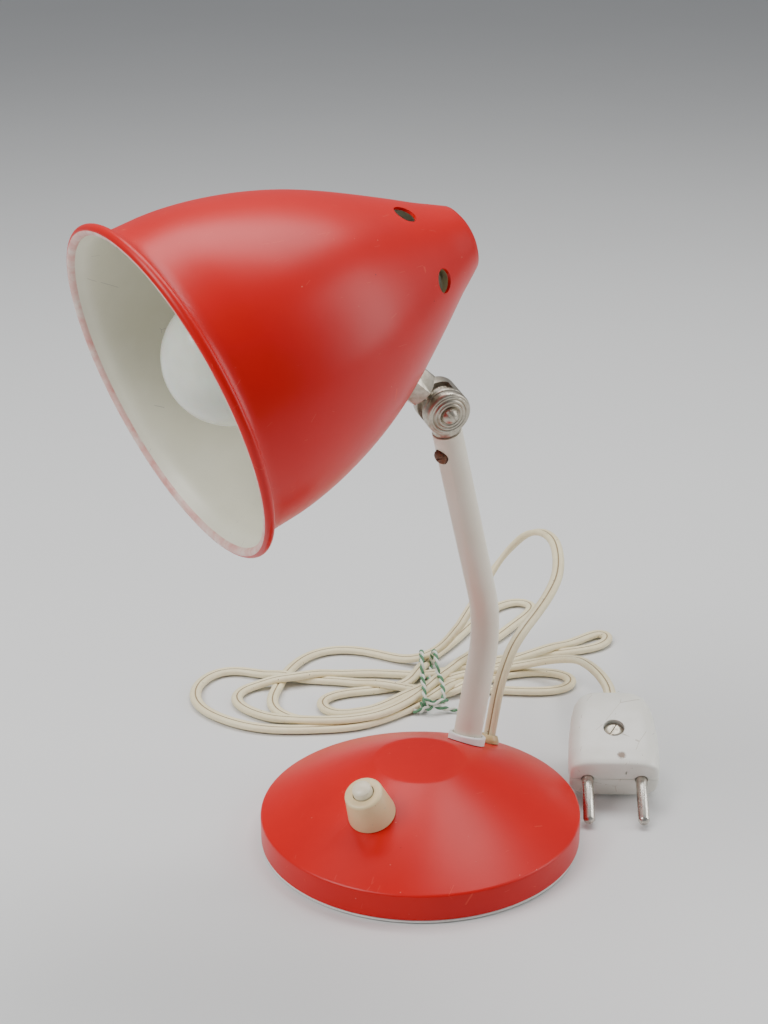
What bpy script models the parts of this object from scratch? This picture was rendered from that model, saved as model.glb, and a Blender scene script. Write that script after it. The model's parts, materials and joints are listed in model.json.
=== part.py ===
"""Small desk lamp: a round weighted base, a bent stem, a two-way knuckle and a spun shade.

Metres, +Z up. The origin is the centre of the base's underside, and the front, with the
switch, faces -Y. Each piece is modelled in the frame of the empty that it hangs from, and
the empties at the knuckle lie on the axes of the lamp's two joints.
"""
from math import atan2, cos, hypot, pi, radians, sin, tan

import bmesh
import bpy
from mathutils import Matrix, Vector

# Gap between touching pieces, and the same between a shaft and its bore.
GAP = 0.0003

# Base: a flat top disc, a straight cone and an upright skirt.
BASE_RADIUS = 0.055
CONE_FOOT = (0.0545, 0.0103)
DISC_RADIUS = 0.01585
DISC_HEIGHT = 0.02885
CONE_SLOPE = atan2(DISC_HEIGHT - CONE_FOOT[1], CONE_FOOT[0] - DISC_RADIUS)
SHELL_WALL = 0.0013
PAD_THICKNESS = 0.0009
SHELL_BOTTOM = 0.0012
PLATE_BOTTOM, PLATE_TOP = 0.0019, 0.0029
WEIGHT_RADIUS, WEIGHT_BOTTOM, WEIGHT_TOP = 0.049, 0.0032, 0.0074
COVER_SCREW_RING = 0.034

# Switch and cord outlet, both square to the cone.
SWITCH_AT = (0, -0.0293)
SWITCH_RADIUS, SWITCH_TOP_RADIUS, SWITCH_HEIGHT = 0.008, 0.00655, 0.0115
BUTTON_RADIUS, BUTTON_TOP = 0.0033, 0.0146
GROMMET_AT = (0, 0.045)

# Stem: a tube of two straight runs that lean opposite ways, joined by one bend.
STEM_RADIUS, STEM_WALL = 0.005, 0.0012
STEM_BEND_AT = Vector((0, 0.0447, 0.0624))
STEM_BEND_RADIUS = 0.041
LOWER_LEAN, UPPER_LEAN = radians(19.9), radians(19.3)
KNUCKLE_AT = Vector((0, 0.0131, 0.1525))
STEM_TOP_BELOW_KNUCKLE = 0.0102
STEM_FOOT_INSIDE = 0.010
GRUB_SCREW_DROP, GRUB_SCREW_SIDE = 0.0178, radians(-14)

# Knuckle: a drum that turns on the stem, with the neck's eye clamped inside it.
SWIVEL_REST, TILT_REST = radians(-35.6), radians(31.6)
DRUM_RADIUS, DRUM_WALL = 0.0076, 0.0013
DRUM_BACK, DRUM_FRONT = -0.0068, 0.0034
CAP_FRONT = 0.0074
EYE_RADIUS, EYE_HALF_WIDTH = 0.0054, 0.0017
HINGE_SCREW_RADIUS, HINGE_BORE_RADIUS = 0.0018, 0.0021
NECK_RADIUS, NECK_THREAD_RADIUS = 0.0029, 0.0040
NECK_TO_SHADE = 0.0219

# Shade: Z runs along its axis from the closed rear to the mouth.
NECK_TWIST, SHADE_PITCH = radians(14.1), radians(59.5)
SHADE_ENTRY = Vector((0, -0.03106, 0.0347))
SHADE_WALL = 0.0010
RIM_BEAD_AT, RIM_BEAD_RADIUS, RIM_OUTER_RADIUS = 0.1087, 0.0017, 0.05476
SHADE_OUTLINE = (  # distance from the rear, radius
    (0.100, 0.0499), (0.090, 0.0495), (0.080, 0.0481), (0.070, 0.0458), (0.060, 0.0427),
    (0.050, 0.0387), (0.040, 0.0337), (0.030, 0.0280), (0.020, 0.0220), (0.012, 0.0170),
    (0.006, 0.0136), (0.002, 0.0113),
)
REAR_CAP_RADIUS = 0.0094
VENT_COUNT, VENT_RADIUS, VENT_AT = 6, 0.00375, (0.0223, 0.0235)
VENT_TURN = radians(33)

# Lamp holder and bulb, along the shade's axis.
HOLDER_RADIUS, HOLDER_REAR, HOLDER_FRONT = 0.013, 0.0178, 0.052
HOLDER_OFFSET = (0.0006, 0.0014)
BULB_CENTRE, BULB_RADIUS, GLASS_WALL = 0.0867, 0.0205, 0.0008

# The flex and what is on it are laid out in axes turned from the lamp's by this much.
FLEX_TURN = radians(34)
FLEX_WIDTH = 0.0046
PLUG_AT = (0.0693, 0.0196, 0.0093)
PLUG_TILT, PLUG_YAW = radians(22.5), radians(-3.2)
PIN_RADIUS, PIN_SPACING, PIN_LENGTH = 0.002, 0.019, 0.019

# Route of the flex from the grommet, up beside the stem, over and down to the hank.
ARCH_ROUTE = (
    (0.0242, 0.0359, 0.0113), (0.0252, 0.0373, 0.0150), (0.0262, 0.0388, 0.0188),
    (0.0275, 0.0408, 0.0255), (0.0292, 0.0432, 0.0335), (0.0314, 0.0460, 0.0402),
    (0.0345, 0.0502, 0.0464),
    (0.0390, 0.0560, 0.0510), (0.0440, 0.0635, 0.0540), (0.0492, 0.0745, 0.0560),
    (0.0535, 0.0880, 0.0575), (0.0555, 0.1040, 0.0585), (0.0550, 0.1200, 0.0590),
    (0.0515, 0.1335, 0.0570), (0.0460, 0.1420, 0.0525), (0.0405, 0.1450, 0.0460),
    (0.0355, 0.1440, 0.0400), (0.0302, 0.1400, 0.0335), (0.0252, 0.1350, 0.0265),
    (0.0203, 0.1310, 0.0200), (0.0160, 0.1270, 0.0145), (0.0120, 0.1230, 0.0112),
)
# Route from the hank round to the tail of the plug.
PLUG_ROUTE = (
    (0.0560, 0.1130, 0.0113), (0.0592, 0.1090, 0.0128), (0.0614, 0.1045, 0.0148),
    (0.0632, 0.0970, 0.0182), (0.0646, 0.0880, 0.0218), (0.0658, 0.0795, 0.0246),
    (0.0673, 0.0715, 0.0265), (0.0692, 0.0645, 0.0269), (0.0709, 0.0590, 0.0256),
    (0.07126, 0.05465, 0.02384), (0.07095, 0.0491, 0.02155),
)
# Outline of the hank on the table, and the span of its height.
HANK_OUTLINE = (
    (0.004, 0.0995), (-0.003, 0.0920), (-0.022, 0.0745), (-0.040, 0.0695), (-0.060, 0.0690),
    (-0.078, 0.0760), (-0.0905, 0.0890), (-0.0925, 0.1050), (-0.087, 0.1190), (-0.074, 0.1265),
    (-0.058, 0.1280), (-0.044, 0.1410), (-0.032, 0.1465), (-0.018, 0.1410), (-0.006, 0.1270),
    (0.004, 0.1150), (0.014, 0.1270), (0.024, 0.1530), (0.036, 0.1770), (0.047, 0.1845),
    (0.057, 0.1770), (0.062, 0.1600), (0.070, 0.1520), (0.080, 0.1530), (0.0840, 0.1440),
    (0.080, 0.1330), (0.0790, 0.1230), (0.069, 0.1160), (0.067, 0.1040), (0.050, 0.0995),
    (0.030, 0.1005), (0.014, 0.0985),
)
HANK_BOTTOM, HANK_TOP = 0.0003, 0.0085
TIE_X, TIE_RADIUS = 0.004, 0.0011
TIE_SPAN = ((0.0978, 0.1152), (0.0014, 0.0094))


# ---------------------------------------------------------------- helpers

def clear_scene():
    for obj in list(bpy.data.objects):
        bpy.data.objects.remove(obj, do_unlink=True)


def new_collection(name):
    found = bpy.data.collections.new(name)
    bpy.context.scene.collection.children.link(found)
    return found


def material(name, colour, roughness, metallic=0.0):
    made = bpy.data.materials.new(name)
    made.use_nodes = True
    shader = made.node_tree.nodes["Principled BSDF"]
    shader.inputs["Base Color"].default_value = (*colour, 1.0)
    shader.inputs["Roughness"].default_value = roughness
    shader.inputs["Metallic"].default_value = metallic
    made.diffuse_color = (*colour, 1.0)
    return made


def empty(name, parent=None, at=(0, 0, 0), turn=Matrix()):
    made = bpy.data.objects.new(name, None)
    made.empty_display_size = 0.01
    PARTS.objects.link(made)
    made.parent = parent
    made.matrix_basis = Matrix.Translation(at) @ turn
    return made


def place(obj, frame, finish=None, at=(0, 0, 0), turn=Matrix(), home=None):
    """Hangs an object from a frame and gives it its material."""
    (home or PARTS).objects.link(obj)
    obj.parent = frame
    obj.matrix_basis = Matrix.Translation(at) @ turn
    if finish is None:
        obj.hide_render = True
        obj.display_type = "WIRE"
    else:
        obj.data.materials.append(finish)
    return obj


def turned(name, outline, frame, finish=None, segments=32, **where):
    """A solid of revolution about Z, from (radius, z) points that run down its outer side."""
    mesh = bpy.data.meshes.new(name)
    closed = outline[0][0] > 0 and outline[-1][0] > 0
    count = len(outline)
    edges = [(i, (i + 1) % count) for i in range(count if closed else count - 1)]
    mesh.from_pydata([(r, 0, z) for r, z in outline], edges, [])
    obj = place(bpy.data.objects.new(name, mesh), frame, finish, **where)
    screw = obj.modifiers.new("Turn", "SCREW")
    screw.steps = screw.render_steps = segments
    screw.use_merge_vertices = True
    screw.merge_threshold = 0.00001
    screw.use_smooth_shade = True
    return obj


def rod(name, radius, low, high, frame, finish=None, segments=16, **where):
    return turned(name, [(0, high), (radius, high), (radius, low), (0, low)],
                  frame, finish, segments, **where)


def ring(name, inner, outer, low, high, frame, finish=None, segments=24, **where):
    return turned(name, [(inner, high), (outer, high), (outer, low), (inner, low)],
                  frame, finish, segments, **where)


def hex_nut(name, across_flats, bore, low, high, frame, finish, chamfer=0.0003, **where):
    """A hexagonal nut about Z with its corners broken."""
    shape = bmesh.new()
    bmesh.ops.create_cone(shape, cap_ends=True, segments=6,
                          radius1=across_flats / 3**0.5, radius2=across_flats / 3**0.5,
                          depth=high - low,
                          matrix=Matrix.Translation((0, 0, (high + low) / 2)))
    obj = place(mesh_object(name, shape), frame, finish, **where)
    bevel = obj.modifiers.new("Broken corners", "BEVEL")
    bevel.width = chamfer
    bevel.segments = 1
    hole = rod(name + "_bore", bore, low - 0.01, high + 0.01, frame, home=CUTTERS, **where)
    boolean(obj, hole)
    return obj


def box(name, low, high, frame, finish=None, bevel=0.0, **where):
    shape = bmesh.new()
    sides = [h - l for l, h in zip(low, high)]
    middle = [(h + l) / 2 for l, h in zip(low, high)]
    bmesh.ops.create_cube(shape, size=1, matrix=Matrix.Translation(middle) @ Matrix.Diagonal((*sides, 1)))
    obj = place(mesh_object(name, shape), frame, finish, **where)
    if bevel:
        rounding = obj.modifiers.new("Rounded edges", "BEVEL")
        rounding.width = bevel
        rounding.segments = 2
    return obj


def mesh_object(name, shape):
    mesh = bpy.data.meshes.new(name)
    shape.to_mesh(mesh)
    shape.free()
    return bpy.data.objects.new(name, mesh)


def boolean(obj, other, operation="DIFFERENCE"):
    modifier = obj.modifiers.new(operation.capitalize(), "BOOLEAN")
    modifier.operation = operation
    modifier.object = other
    return obj


def smooth_route(points, step, closed=False):
    """Points at an even step along a Catmull-Rom curve through the given ones."""
    points = [Vector(p) for p in points]
    if closed:
        ends = points[-1:] + points + points[:2]
        points = points + points[:1]
    else:
        ends = [2 * points[0] - points[1]] + points + [2 * points[-1] - points[-2]]
    fine = []
    for a, b, c, d in zip(ends, ends[1:], ends[2:], ends[3:]):
        for i in range(12):
            t = i / 12
            fine.append(0.5 * (2 * b + (c - a) * t + (2 * a - 5 * b + 4 * c - d) * t**2
                               + (3 * b - a - 3 * c + d) * t**3))
    fine.append(points[-1])
    length = sum((q - p).length for p, q in zip(fine, fine[1:]))
    count = max(2, round(length / step))
    even, walked, target = [fine[0]], 0.0, length / count
    for p, q in zip(fine, fine[1:]):
        stretch = (q - p).length
        while walked + stretch >= target and len(even) < count:
            even.append(p.lerp(q, (target - walked) / stretch))
            target += length / count
        walked += stretch
    return even if closed else even + [fine[-1]]


def wire(name, points, radius, frame, finish=None, resolution=2, closed=False, wall=0.0, **where):
    """A round wire, or a tube when it has a wall, along the given points."""
    curve = bpy.data.curves.new(name, "CURVE")
    curve.dimensions = "3D"
    spline = curve.splines.new("POLY")
    spline.points.add(len(points) - 1)
    for point, target in zip(spline.points, points):
        point.co = (*target, 1)
    spline.use_cyclic_u = closed
    curve.bevel_depth = radius
    curve.bevel_resolution = resolution
    curve.use_fill_caps = not wall and not closed
    obj = place(bpy.data.objects.new(name, curve), frame, finish, **where)
    if wall:
        shell = obj.modifiers.new("Wall", "SOLIDIFY")
        shell.thickness = wall
        shell.offset = -1
    return obj


def plate(name, outlines, thickness, frame, finish=None, **where):
    """A flat outline in XY, with any further outlines as its holes, centred on its thickness."""
    curve = bpy.data.curves.new(name, "CURVE")
    curve.dimensions = "2D"
    curve.fill_mode = "BOTH"
    curve.extrude = thickness / 2
    for outline in outlines:
        spline = curve.splines.new("POLY")
        spline.points.add(len(outline) - 1)
        for point, target in zip(spline.points, outline):
            point.co = (target[0], target[1], 0, 1)
        spline.use_cyclic_u = True
    return place(bpy.data.objects.new(name, curve), frame, finish, **where)


def as_mesh(obj):
    """The same object with its curve turned into a closed mesh, so that it can be cut."""
    bpy.context.view_layer.update()
    evaluated = obj.evaluated_get(bpy.context.evaluated_depsgraph_get())
    mesh = bpy.data.meshes.new_from_object(evaluated)
    shape = bmesh.new()
    shape.from_mesh(mesh)
    bmesh.ops.remove_doubles(shape, verts=shape.verts, dist=0.000001)
    bmesh.ops.recalc_face_normals(shape, faces=shape.faces)
    shape.to_mesh(mesh)
    shape.free()
    name, home, hidden = obj.name, obj.users_collection[0], obj.hide_render
    parent, basis = obj.parent, obj.matrix_basis.copy()
    bpy.data.objects.remove(obj, do_unlink=True)
    made = bpy.data.objects.new(name, mesh)
    home.objects.link(made)
    made.parent = parent
    made.matrix_basis = basis
    made.hide_render = hidden
    made.display_type = "WIRE" if hidden else "TEXTURED"
    return made


def arc(centre, radius, start, end, count):
    """Points of an arc in a profile, angles in degrees from the +r axis towards +z."""
    return [(centre[0] + radius * cos(radians(start + (end - start) * i / count)),
             centre[1] + radius * sin(radians(start + (end - start) * i / count)))
            for i in range(count + 1)]


def offset_outline(points, distance):
    """An outline that runs down an outer side, moved inwards by the distance."""
    moved = []
    for i, (r, z) in enumerate(points):
        before = points[max(i - 1, 0)]
        after = points[min(i + 1, len(points) - 1)]
        along = (after[0] - before[0], after[1] - before[1])
        length = hypot(*along)
        moved.append((r + along[1] / length * distance, z - along[0] / length * distance))
    return moved


def rounded_rectangle(low, high, radius, per_corner=3):
    corners = (((high[0] - radius, high[1] - radius), 0), ((low[0] + radius, high[1] - radius), 90),
               ((low[0] + radius, low[1] + radius), 180), ((high[0] - radius, low[1] + radius), 270))
    points = []
    for centre, start in corners:
        points += arc(centre, radius, start, start + 90, per_corner)
    return points


def cone_height(radius):
    """Height of the base's cone at a distance from its axis."""
    return DISC_HEIGHT - (radius - DISC_RADIUS) * tan(CONE_SLOPE)


def axis_x():
    """Turns a piece modelled about Z so that it lies along X."""
    return Matrix.Rotation(pi / 2, 4, "Y")


# ---------------------------------------------------------------- base

def base_outline():
    """The base's outer side, from the middle of the top disc down to the skirt's edge."""
    return [(0, DISC_HEIGHT), (DISC_RADIUS - 0.0012, DISC_HEIGHT),
            (DISC_RADIUS - 0.0003, DISC_HEIGHT - 0.0001),
            (DISC_RADIUS + 0.0006, cone_height(DISC_RADIUS + 0.0006)),
            CONE_FOOT, (BASE_RADIUS - 0.0001, CONE_FOOT[1] - 0.0004),
            (BASE_RADIUS, CONE_FOOT[1] - 0.0010), (BASE_RADIUS, SHELL_BOTTOM)]


def build_base(lamp, switch, grommet, stem_foot):
    shell = turned("base_shell", base_outline(), lamp, RED_ENAMEL, segments=40)
    wall = shell.modifiers.new("Wall", "SOLIDIFY")
    wall.thickness = SHELL_WALL
    wall.offset = -1
    for name, radius, frame in (("switch_hole", 0.0052, switch), ("grommet_hole", 0.0036, grommet),
                                ("stem_hole", STEM_RADIUS + GAP, stem_foot)):
        boolean(shell, rod(name, radius, -0.006, 0.006, frame, home=CUTTERS))

    rod("base_pad", BASE_RADIUS - 0.0004, 0, PAD_THICKNESS, lamp, PALE_FELT, segments=40)
    bottom = rod("base_plate", BASE_RADIUS - 0.0020, PLATE_BOTTOM, PLATE_TOP, lamp, ZINC, segments=32)
    weight = turned("base_weight",
                    [(0, WEIGHT_TOP), (WEIGHT_RADIUS - 0.001, WEIGHT_TOP),
                     (WEIGHT_RADIUS, WEIGHT_TOP - 0.001), (WEIGHT_RADIUS, WEIGHT_BOTTOM),
                     (0, WEIGHT_BOTTOM)], lamp, CAST_IRON, segments=32)
    for number in range(3):
        angle = radians(90 + 120 * number)
        at = (COVER_SCREW_RING * cos(angle), COVER_SCREW_RING * sin(angle), 0)
        hole = rod(f"cover_screw_hole_{number + 1}", 0.0019, 0, 0.01, lamp, home=CUTTERS, at=at)
        boolean(bottom, hole)
        boolean(weight, hole)
        turned(f"cover_screw_{number + 1}",
               [(0, 0.0065), (0.0015, 0.0065), (0.0015, 0.0016), (0.0030, 0.0016),
                (0.0030, 0.0012), (0, 0.0012)], lamp, ZINC, segments=14, at=at)


def build_switch(switch, cone):
    height, top = SWITCH_HEIGHT, SWITCH_TOP_RADIUS
    housing = turned("switch_housing",
                     [(0.0036, height), (top - 0.0006, height), (top, height - 0.0006),
                      (SWITCH_RADIUS, 0.0006), (SWITCH_RADIUS, -0.0020), (0.0055, -0.0020),
                      (0.0055, 0.0086), (0.0036, 0.0086)], switch, IVORY, segments=24)
    boolean(housing, cone)
    turned("switch_button",
           [(0, BUTTON_TOP), (BUTTON_RADIUS - 0.0012, BUTTON_TOP - 0.0001),
            (BUTTON_RADIUS - 0.0003, BUTTON_TOP - 0.0006), (BUTTON_RADIUS, BUTTON_TOP - 0.0014),
            (BUTTON_RADIUS, 0.0083), (0.0050, 0.0083), (0.0050, 0.0068), (0.0026, 0.0068),
            (0.0026, 0.0105), (0, 0.0105)], switch, PALE_IVORY, segments=20)
    turns, steps, low, high = 4, 32, 0.0016, 0.0064
    coil = [(0.0038 * cos(2 * pi * turns * i / steps), 0.0038 * sin(2 * pi * turns * i / steps),
             low + (high - low) * i / steps) for i in range(steps + 1)]
    wire("switch_spring", coil, 0.0003, switch, STEEL, resolution=0)
    turned("switch_body",
           [(0, 0.0010), (0.0045, 0.0010), (0.0045, -0.0048), (0.0068, -0.0048),
            (0.0068, -0.0112), (0.0060, -0.0120), (0, -0.0120)], switch, BROWN_BAKELITE, segments=24)
    hex_nut("switch_nut", 0.0135, 0.0048, -0.0045, -0.0020, switch, ZINC)
    for side, x in (("left", -0.003), ("right", 0.003)):
        box(f"switch_terminal_{side}", (x - 0.0005, -0.0015, -0.0150), (x + 0.0005, 0.0015, -0.0123),
            switch, BRASS)


def build_outlet(lamp, grommet, cone):
    boolean(turned("cord_grommet",
                   [(0.0026, 0.0028), (0.0031, 0.0028), (0.0039, 0.0014), (0.0040, -0.0010),
                    (0.0033, -0.0010), (0.0033, -0.0018), (0.0044, -0.0018), (0.0044, -0.0028),
                    (0.0026, -0.0028)], grommet, AMBER_PLASTIC, segments=24), cone)
    route = ((0.0045, 0.0412, 0.0098), (0.0085, 0.0388, 0.0106), (0.0128, 0.0330, 0.0112),
             (0.0145, 0.0240, 0.0114), (0.0140, 0.0120, 0.0112), (0.0110, 0.0000, 0.0106),
             (0.0060, -0.0090, 0.0098), (0.0033, -0.0150, 0.0092))
    wire("base_lead", smooth_route(route, 0.005), 0.0016, lamp, CREAM_FLEX, resolution=1)
    ring("cord_clip", 0.0021, 0.0032, -0.0012, 0.0012, lamp, ZINC, segments=14,
         at=(0.0145, 0.0240, 0.0114), turn=Matrix.Rotation(pi / 2, 4, "X"))


# ---------------------------------------------------------------- stem

def stem_points():
    """The tube's centre line, from inside the base to under the knuckle."""
    lower = Vector((0, sin(LOWER_LEAN), cos(LOWER_LEAN)))
    upper = Vector((0, -sin(UPPER_LEAN), cos(UPPER_LEAN)))
    bend = LOWER_LEAN + UPPER_LEAN
    tangent = STEM_BEND_RADIUS * tan(bend / 2)
    start = STEM_BEND_AT - lower * tangent
    inward = Vector((0, -cos(LOWER_LEAN), sin(LOWER_LEAN)))
    centre = start + inward * STEM_BEND_RADIUS
    steps = 10
    curve = [centre - STEM_BEND_RADIUS * (Matrix.Rotation(bend * i / steps, 3, "X") @ inward)
             for i in range(steps + 1)]
    foot = stem_foot_at() - lower * STEM_FOOT_INSIDE
    top = KNUCKLE_AT - upper * STEM_TOP_BELOW_KNUCKLE
    return [foot] + curve + [top]


def stem_foot_at():
    """Where the stem's centre line meets the base's cone."""
    along = Vector((0, tan(LOWER_LEAN), 1))
    z_at_axis = STEM_BEND_AT.z - STEM_BEND_AT.y / along.y
    # z = z_at_axis + y / tan(lean) on the stem, and cone_height(y) on the cone.
    y = (cone_height(0) - z_at_axis) / (1 / along.y + tan(CONE_SLOPE))
    return Vector((0, y, cone_height(y)))


def build_stem(lamp, stem_foot, stem_top, cone):
    line = stem_points()
    tube = as_mesh(wire("stem_tube", line, STEM_RADIUS, lamp, resolution=4, wall=STEM_WALL, home=PARTS))
    tube.hide_render, tube.display_type = False, "TEXTURED"
    tube.data.materials.append(WHITE_ENAMEL)
    grub = {"at": (0, 0, -GRUB_SCREW_DROP),
            "turn": Matrix.Rotation(GRUB_SCREW_SIDE, 4, "Z") @ Matrix.Rotation(pi / 2, 4, "X")}
    boolean(tube, rod("grub_screw_hole", 0.0028, 0.0015, 0.008, stem_top, home=CUTTERS, **grub))
    turned("stem_grub_screw",
           [(0, 0.0063), (0.0016, 0.0061), (0.0025, 0.0053), (0.0025, 0.0030), (0, 0.0030)],
           stem_top, RUSTY_STEEL, segments=18, **grub)
    boolean(turned("stem_collar",
                   [(STEM_RADIUS + GAP, 0.0030), (0.0062, 0.0030), (0.0066, 0.0026),
                    (0.0066, -0.0015), (STEM_RADIUS + GAP, -0.0015)],
                   stem_foot, WHITE_PLASTIC, segments=32), cone)
    ring("stem_washer", STEM_RADIUS + GAP, 0.0085, -0.0034, -0.0026, stem_foot, ZINC)
    hex_nut("stem_nut", 0.0150, STEM_RADIUS + GAP, -0.0077, -0.0037, stem_foot, ZINC)
    upper = (line[-1] - line[-2]).normalized()
    lead = [line[0] + (line[1] - line[0]) * 0.1] + line[1:-1] + [line[-1] - upper * 0.0140]
    wire("stem_lead", smooth_route(lead, 0.009), 0.0019, lamp, CREAM_FLEX, resolution=1)


# ---------------------------------------------------------------- knuckle

def sector(name, radius, start, end, low, high, frame):
    """A wedge about X as a cutter, its angles measured from +Z towards -Y."""
    steps = 8
    outline = [(0, 0)] + [(radius * cos(start + (end - start) * i / steps),
                           radius * sin(start + (end - start) * i / steps)) for i in range(steps + 1)]
    # The plate's X, Y and Z become the frame's Z, -Y and X.
    turn = Matrix(((0, 0, 1, 0), (0, -1, 0, 0), (1, 0, 0, 0), (0, 0, 0, 1)))
    wedge = plate(name, [outline], high - low, frame, home=CUTTERS,
                  at=((high + low) / 2, 0, 0), turn=turn)
    return as_mesh(wedge)


def build_knuckle(swivel):
    back, front, inner = DRUM_BACK, DRUM_FRONT, DRUM_RADIUS - DRUM_WALL
    drum = turned("knuckle_body",
                  [(inner, front), (DRUM_RADIUS, front), (DRUM_RADIUS, back + 0.0008),
                   (DRUM_RADIUS - 0.0008, back), (HINGE_BORE_RADIUS, back),
                   (HINGE_BORE_RADIUS, back + DRUM_WALL), (inner, back + DRUM_WALL)],
                  swivel, NICKEL, segments=20, turn=axis_x())
    foot = turned("swivel_spigot_shape",
                  [(0, -0.0060), (0.0048, -0.0060), (0.0048, -0.0094), (0.0045, -0.0099),
                   (0.0034, -0.0099), (0.0034, -0.0148), (0.0025, -0.0152), (0.0025, -0.0208),
                   (0.0034, -0.0212), (0.0034, -0.0235), (0.0029, -0.0240), (0, -0.0240)],
                  swivel, segments=28, home=CUTTERS)
    boolean(drum, foot, "UNION")
    boolean(drum, rod("cap_seat", DRUM_RADIUS + GAP, front, front + 0.012, swivel, segments=40,
                      home=CUTTERS, turn=axis_x()))
    boolean(drum, rod("drum_hollow", inner, back + DRUM_WALL, front + 0.004, swivel, segments=40,
                      home=CUTTERS, turn=axis_x()))
    boolean(drum, sector("neck_window", 0.012, radians(-36), radians(118), -0.0021, 0.0021, swivel))

    ridges = []
    for radius in (0.0064, 0.0053, 0.0042):
        ridges += [(radius, CAP_FRONT - 0.0008), (radius - 0.0003, CAP_FRONT - 0.0001),
                   (radius - 0.0007, CAP_FRONT - 0.0001), (radius - 0.0010, CAP_FRONT - 0.0008)]
    turned("knuckle_cap",
           [(HINGE_BORE_RADIUS, CAP_FRONT - 0.0008)] + ridges[::-1]
           + [(DRUM_RADIUS - 0.0006, CAP_FRONT - 0.0010), (DRUM_RADIUS, CAP_FRONT - 0.0016),
              (DRUM_RADIUS, front + GAP), (HINGE_BORE_RADIUS, front + GAP)],
           swivel, NICKEL, segments=24, turn=axis_x())
    head = CAP_FRONT - 0.0005
    screw = turned("hinge_screw",
                   [(0, head + 0.0026), (0.0014, head + 0.0022), (0.0025, head + 0.0013),
                    (0.0029, head), (HINGE_SCREW_RADIUS, head), (HINGE_SCREW_RADIUS, -0.0102),
                    (0, -0.0102)], swivel, NICKEL, segments=20, turn=axis_x())
    boolean(screw, box("hinge_screw_slot", (head + 0.0012, -0.0005, -0.004), (head + 0.004, 0.0005, 0.004),
                       swivel, home=CUTTERS))
    hex_nut("hinge_nut", 0.0062, HINGE_BORE_RADIUS, -0.0095, back - GAP, swivel, NICKEL, turn=axis_x())
    ring("hinge_washer_front", HINGE_BORE_RADIUS, 0.0053, EYE_HALF_WIDTH + GAP, 0.0034, swivel,
         DARK_FIBRE, turn=axis_x())
    ring("hinge_washer_rear", HINGE_BORE_RADIUS, 0.0053, back + DRUM_WALL + GAP, -EYE_HALF_WIDTH - GAP,
         swivel, DARK_FIBRE, turn=axis_x())


def build_neck(tilt, neck_axis):
    inside = NECK_TO_SHADE + 0.0085
    eye = ring("shade_neck", HINGE_BORE_RADIUS, EYE_RADIUS, -EYE_HALF_WIDTH, EYE_HALF_WIDTH, tilt, NICKEL,
               segments=28, turn=axis_x())
    bar = turned("neck_bar_shape",
                 [(0, inside), (NECK_THREAD_RADIUS - 0.0004, inside),
                  (NECK_THREAD_RADIUS, inside - 0.0004), (NECK_THREAD_RADIUS, 0.0098),
                  (NECK_RADIUS, 0.0090), (0.0016, 0.0083), (0.0016, 0.0030), (0, 0.0030)],
                 tilt, segments=24, home=CUTTERS)
    boolean(eye, bar, "UNION")
    hex_nut("shade_nut_outer", 0.0125, NECK_THREAD_RADIUS + GAP, NECK_TO_SHADE - 0.0112,
            NECK_TO_SHADE - GAP, neck_axis, NICKEL, chamfer=0.0004)
    hex_nut("shade_nut_inner", 0.0115, NECK_THREAD_RADIUS + GAP, NECK_TO_SHADE + 0.0037,
            NECK_TO_SHADE + 0.0067, neck_axis, NICKEL)


# ---------------------------------------------------------------- shade

def shade_outline():
    """The whole wall in one line: inside from rear to mouth, round the bead, outside back to the rear."""
    centre = (RIM_OUTER_RADIUS - RIM_BEAD_RADIUS, RIM_BEAD_AT)
    outside = [(radius, along) for along, radius in SHADE_OUTLINE]
    outside = ([(0.0510, 0.1066), (0.0502, 0.1045)] + outside
               + [(REAR_CAP_RADIUS, 0.0010), (REAR_CAP_RADIUS - 0.002, 0)])
    inside = offset_outline(outside[:-1], SHADE_WALL)
    bead = arc(centre, RIM_BEAD_RADIUS, 175, -130, 6)
    return [(0, SHADE_WALL)] + inside[::-1] + bead + outside + [(0, 0)]


def build_shade(shade, neck_axis):
    shell = turned("shade_shell", shade_outline(), shade, RED_ENAMEL, segments=36)
    boolean(shell, rod("neck_hole", NECK_THREAD_RADIUS + GAP, NECK_TO_SHADE - 0.006, NECK_TO_SHADE + 0.006,
                       neck_axis, segments=24, home=CUTTERS))
    lean = atan2(0.0060, 0.0100)
    for number in range(VENT_COUNT):
        spin = Matrix.Rotation(VENT_TURN + 2 * pi * number / VENT_COUNT, 4, "Z")
        out = Matrix.Translation((0, -VENT_AT[1], VENT_AT[0])) @ Matrix.Rotation(pi / 2 + lean, 4, "X")
        boolean(shell, rod(f"vent_hole_{number + 1}", VENT_RADIUS, -0.005, 0.005, shade,
                           home=CUTTERS, turn=spin @ out))


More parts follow.
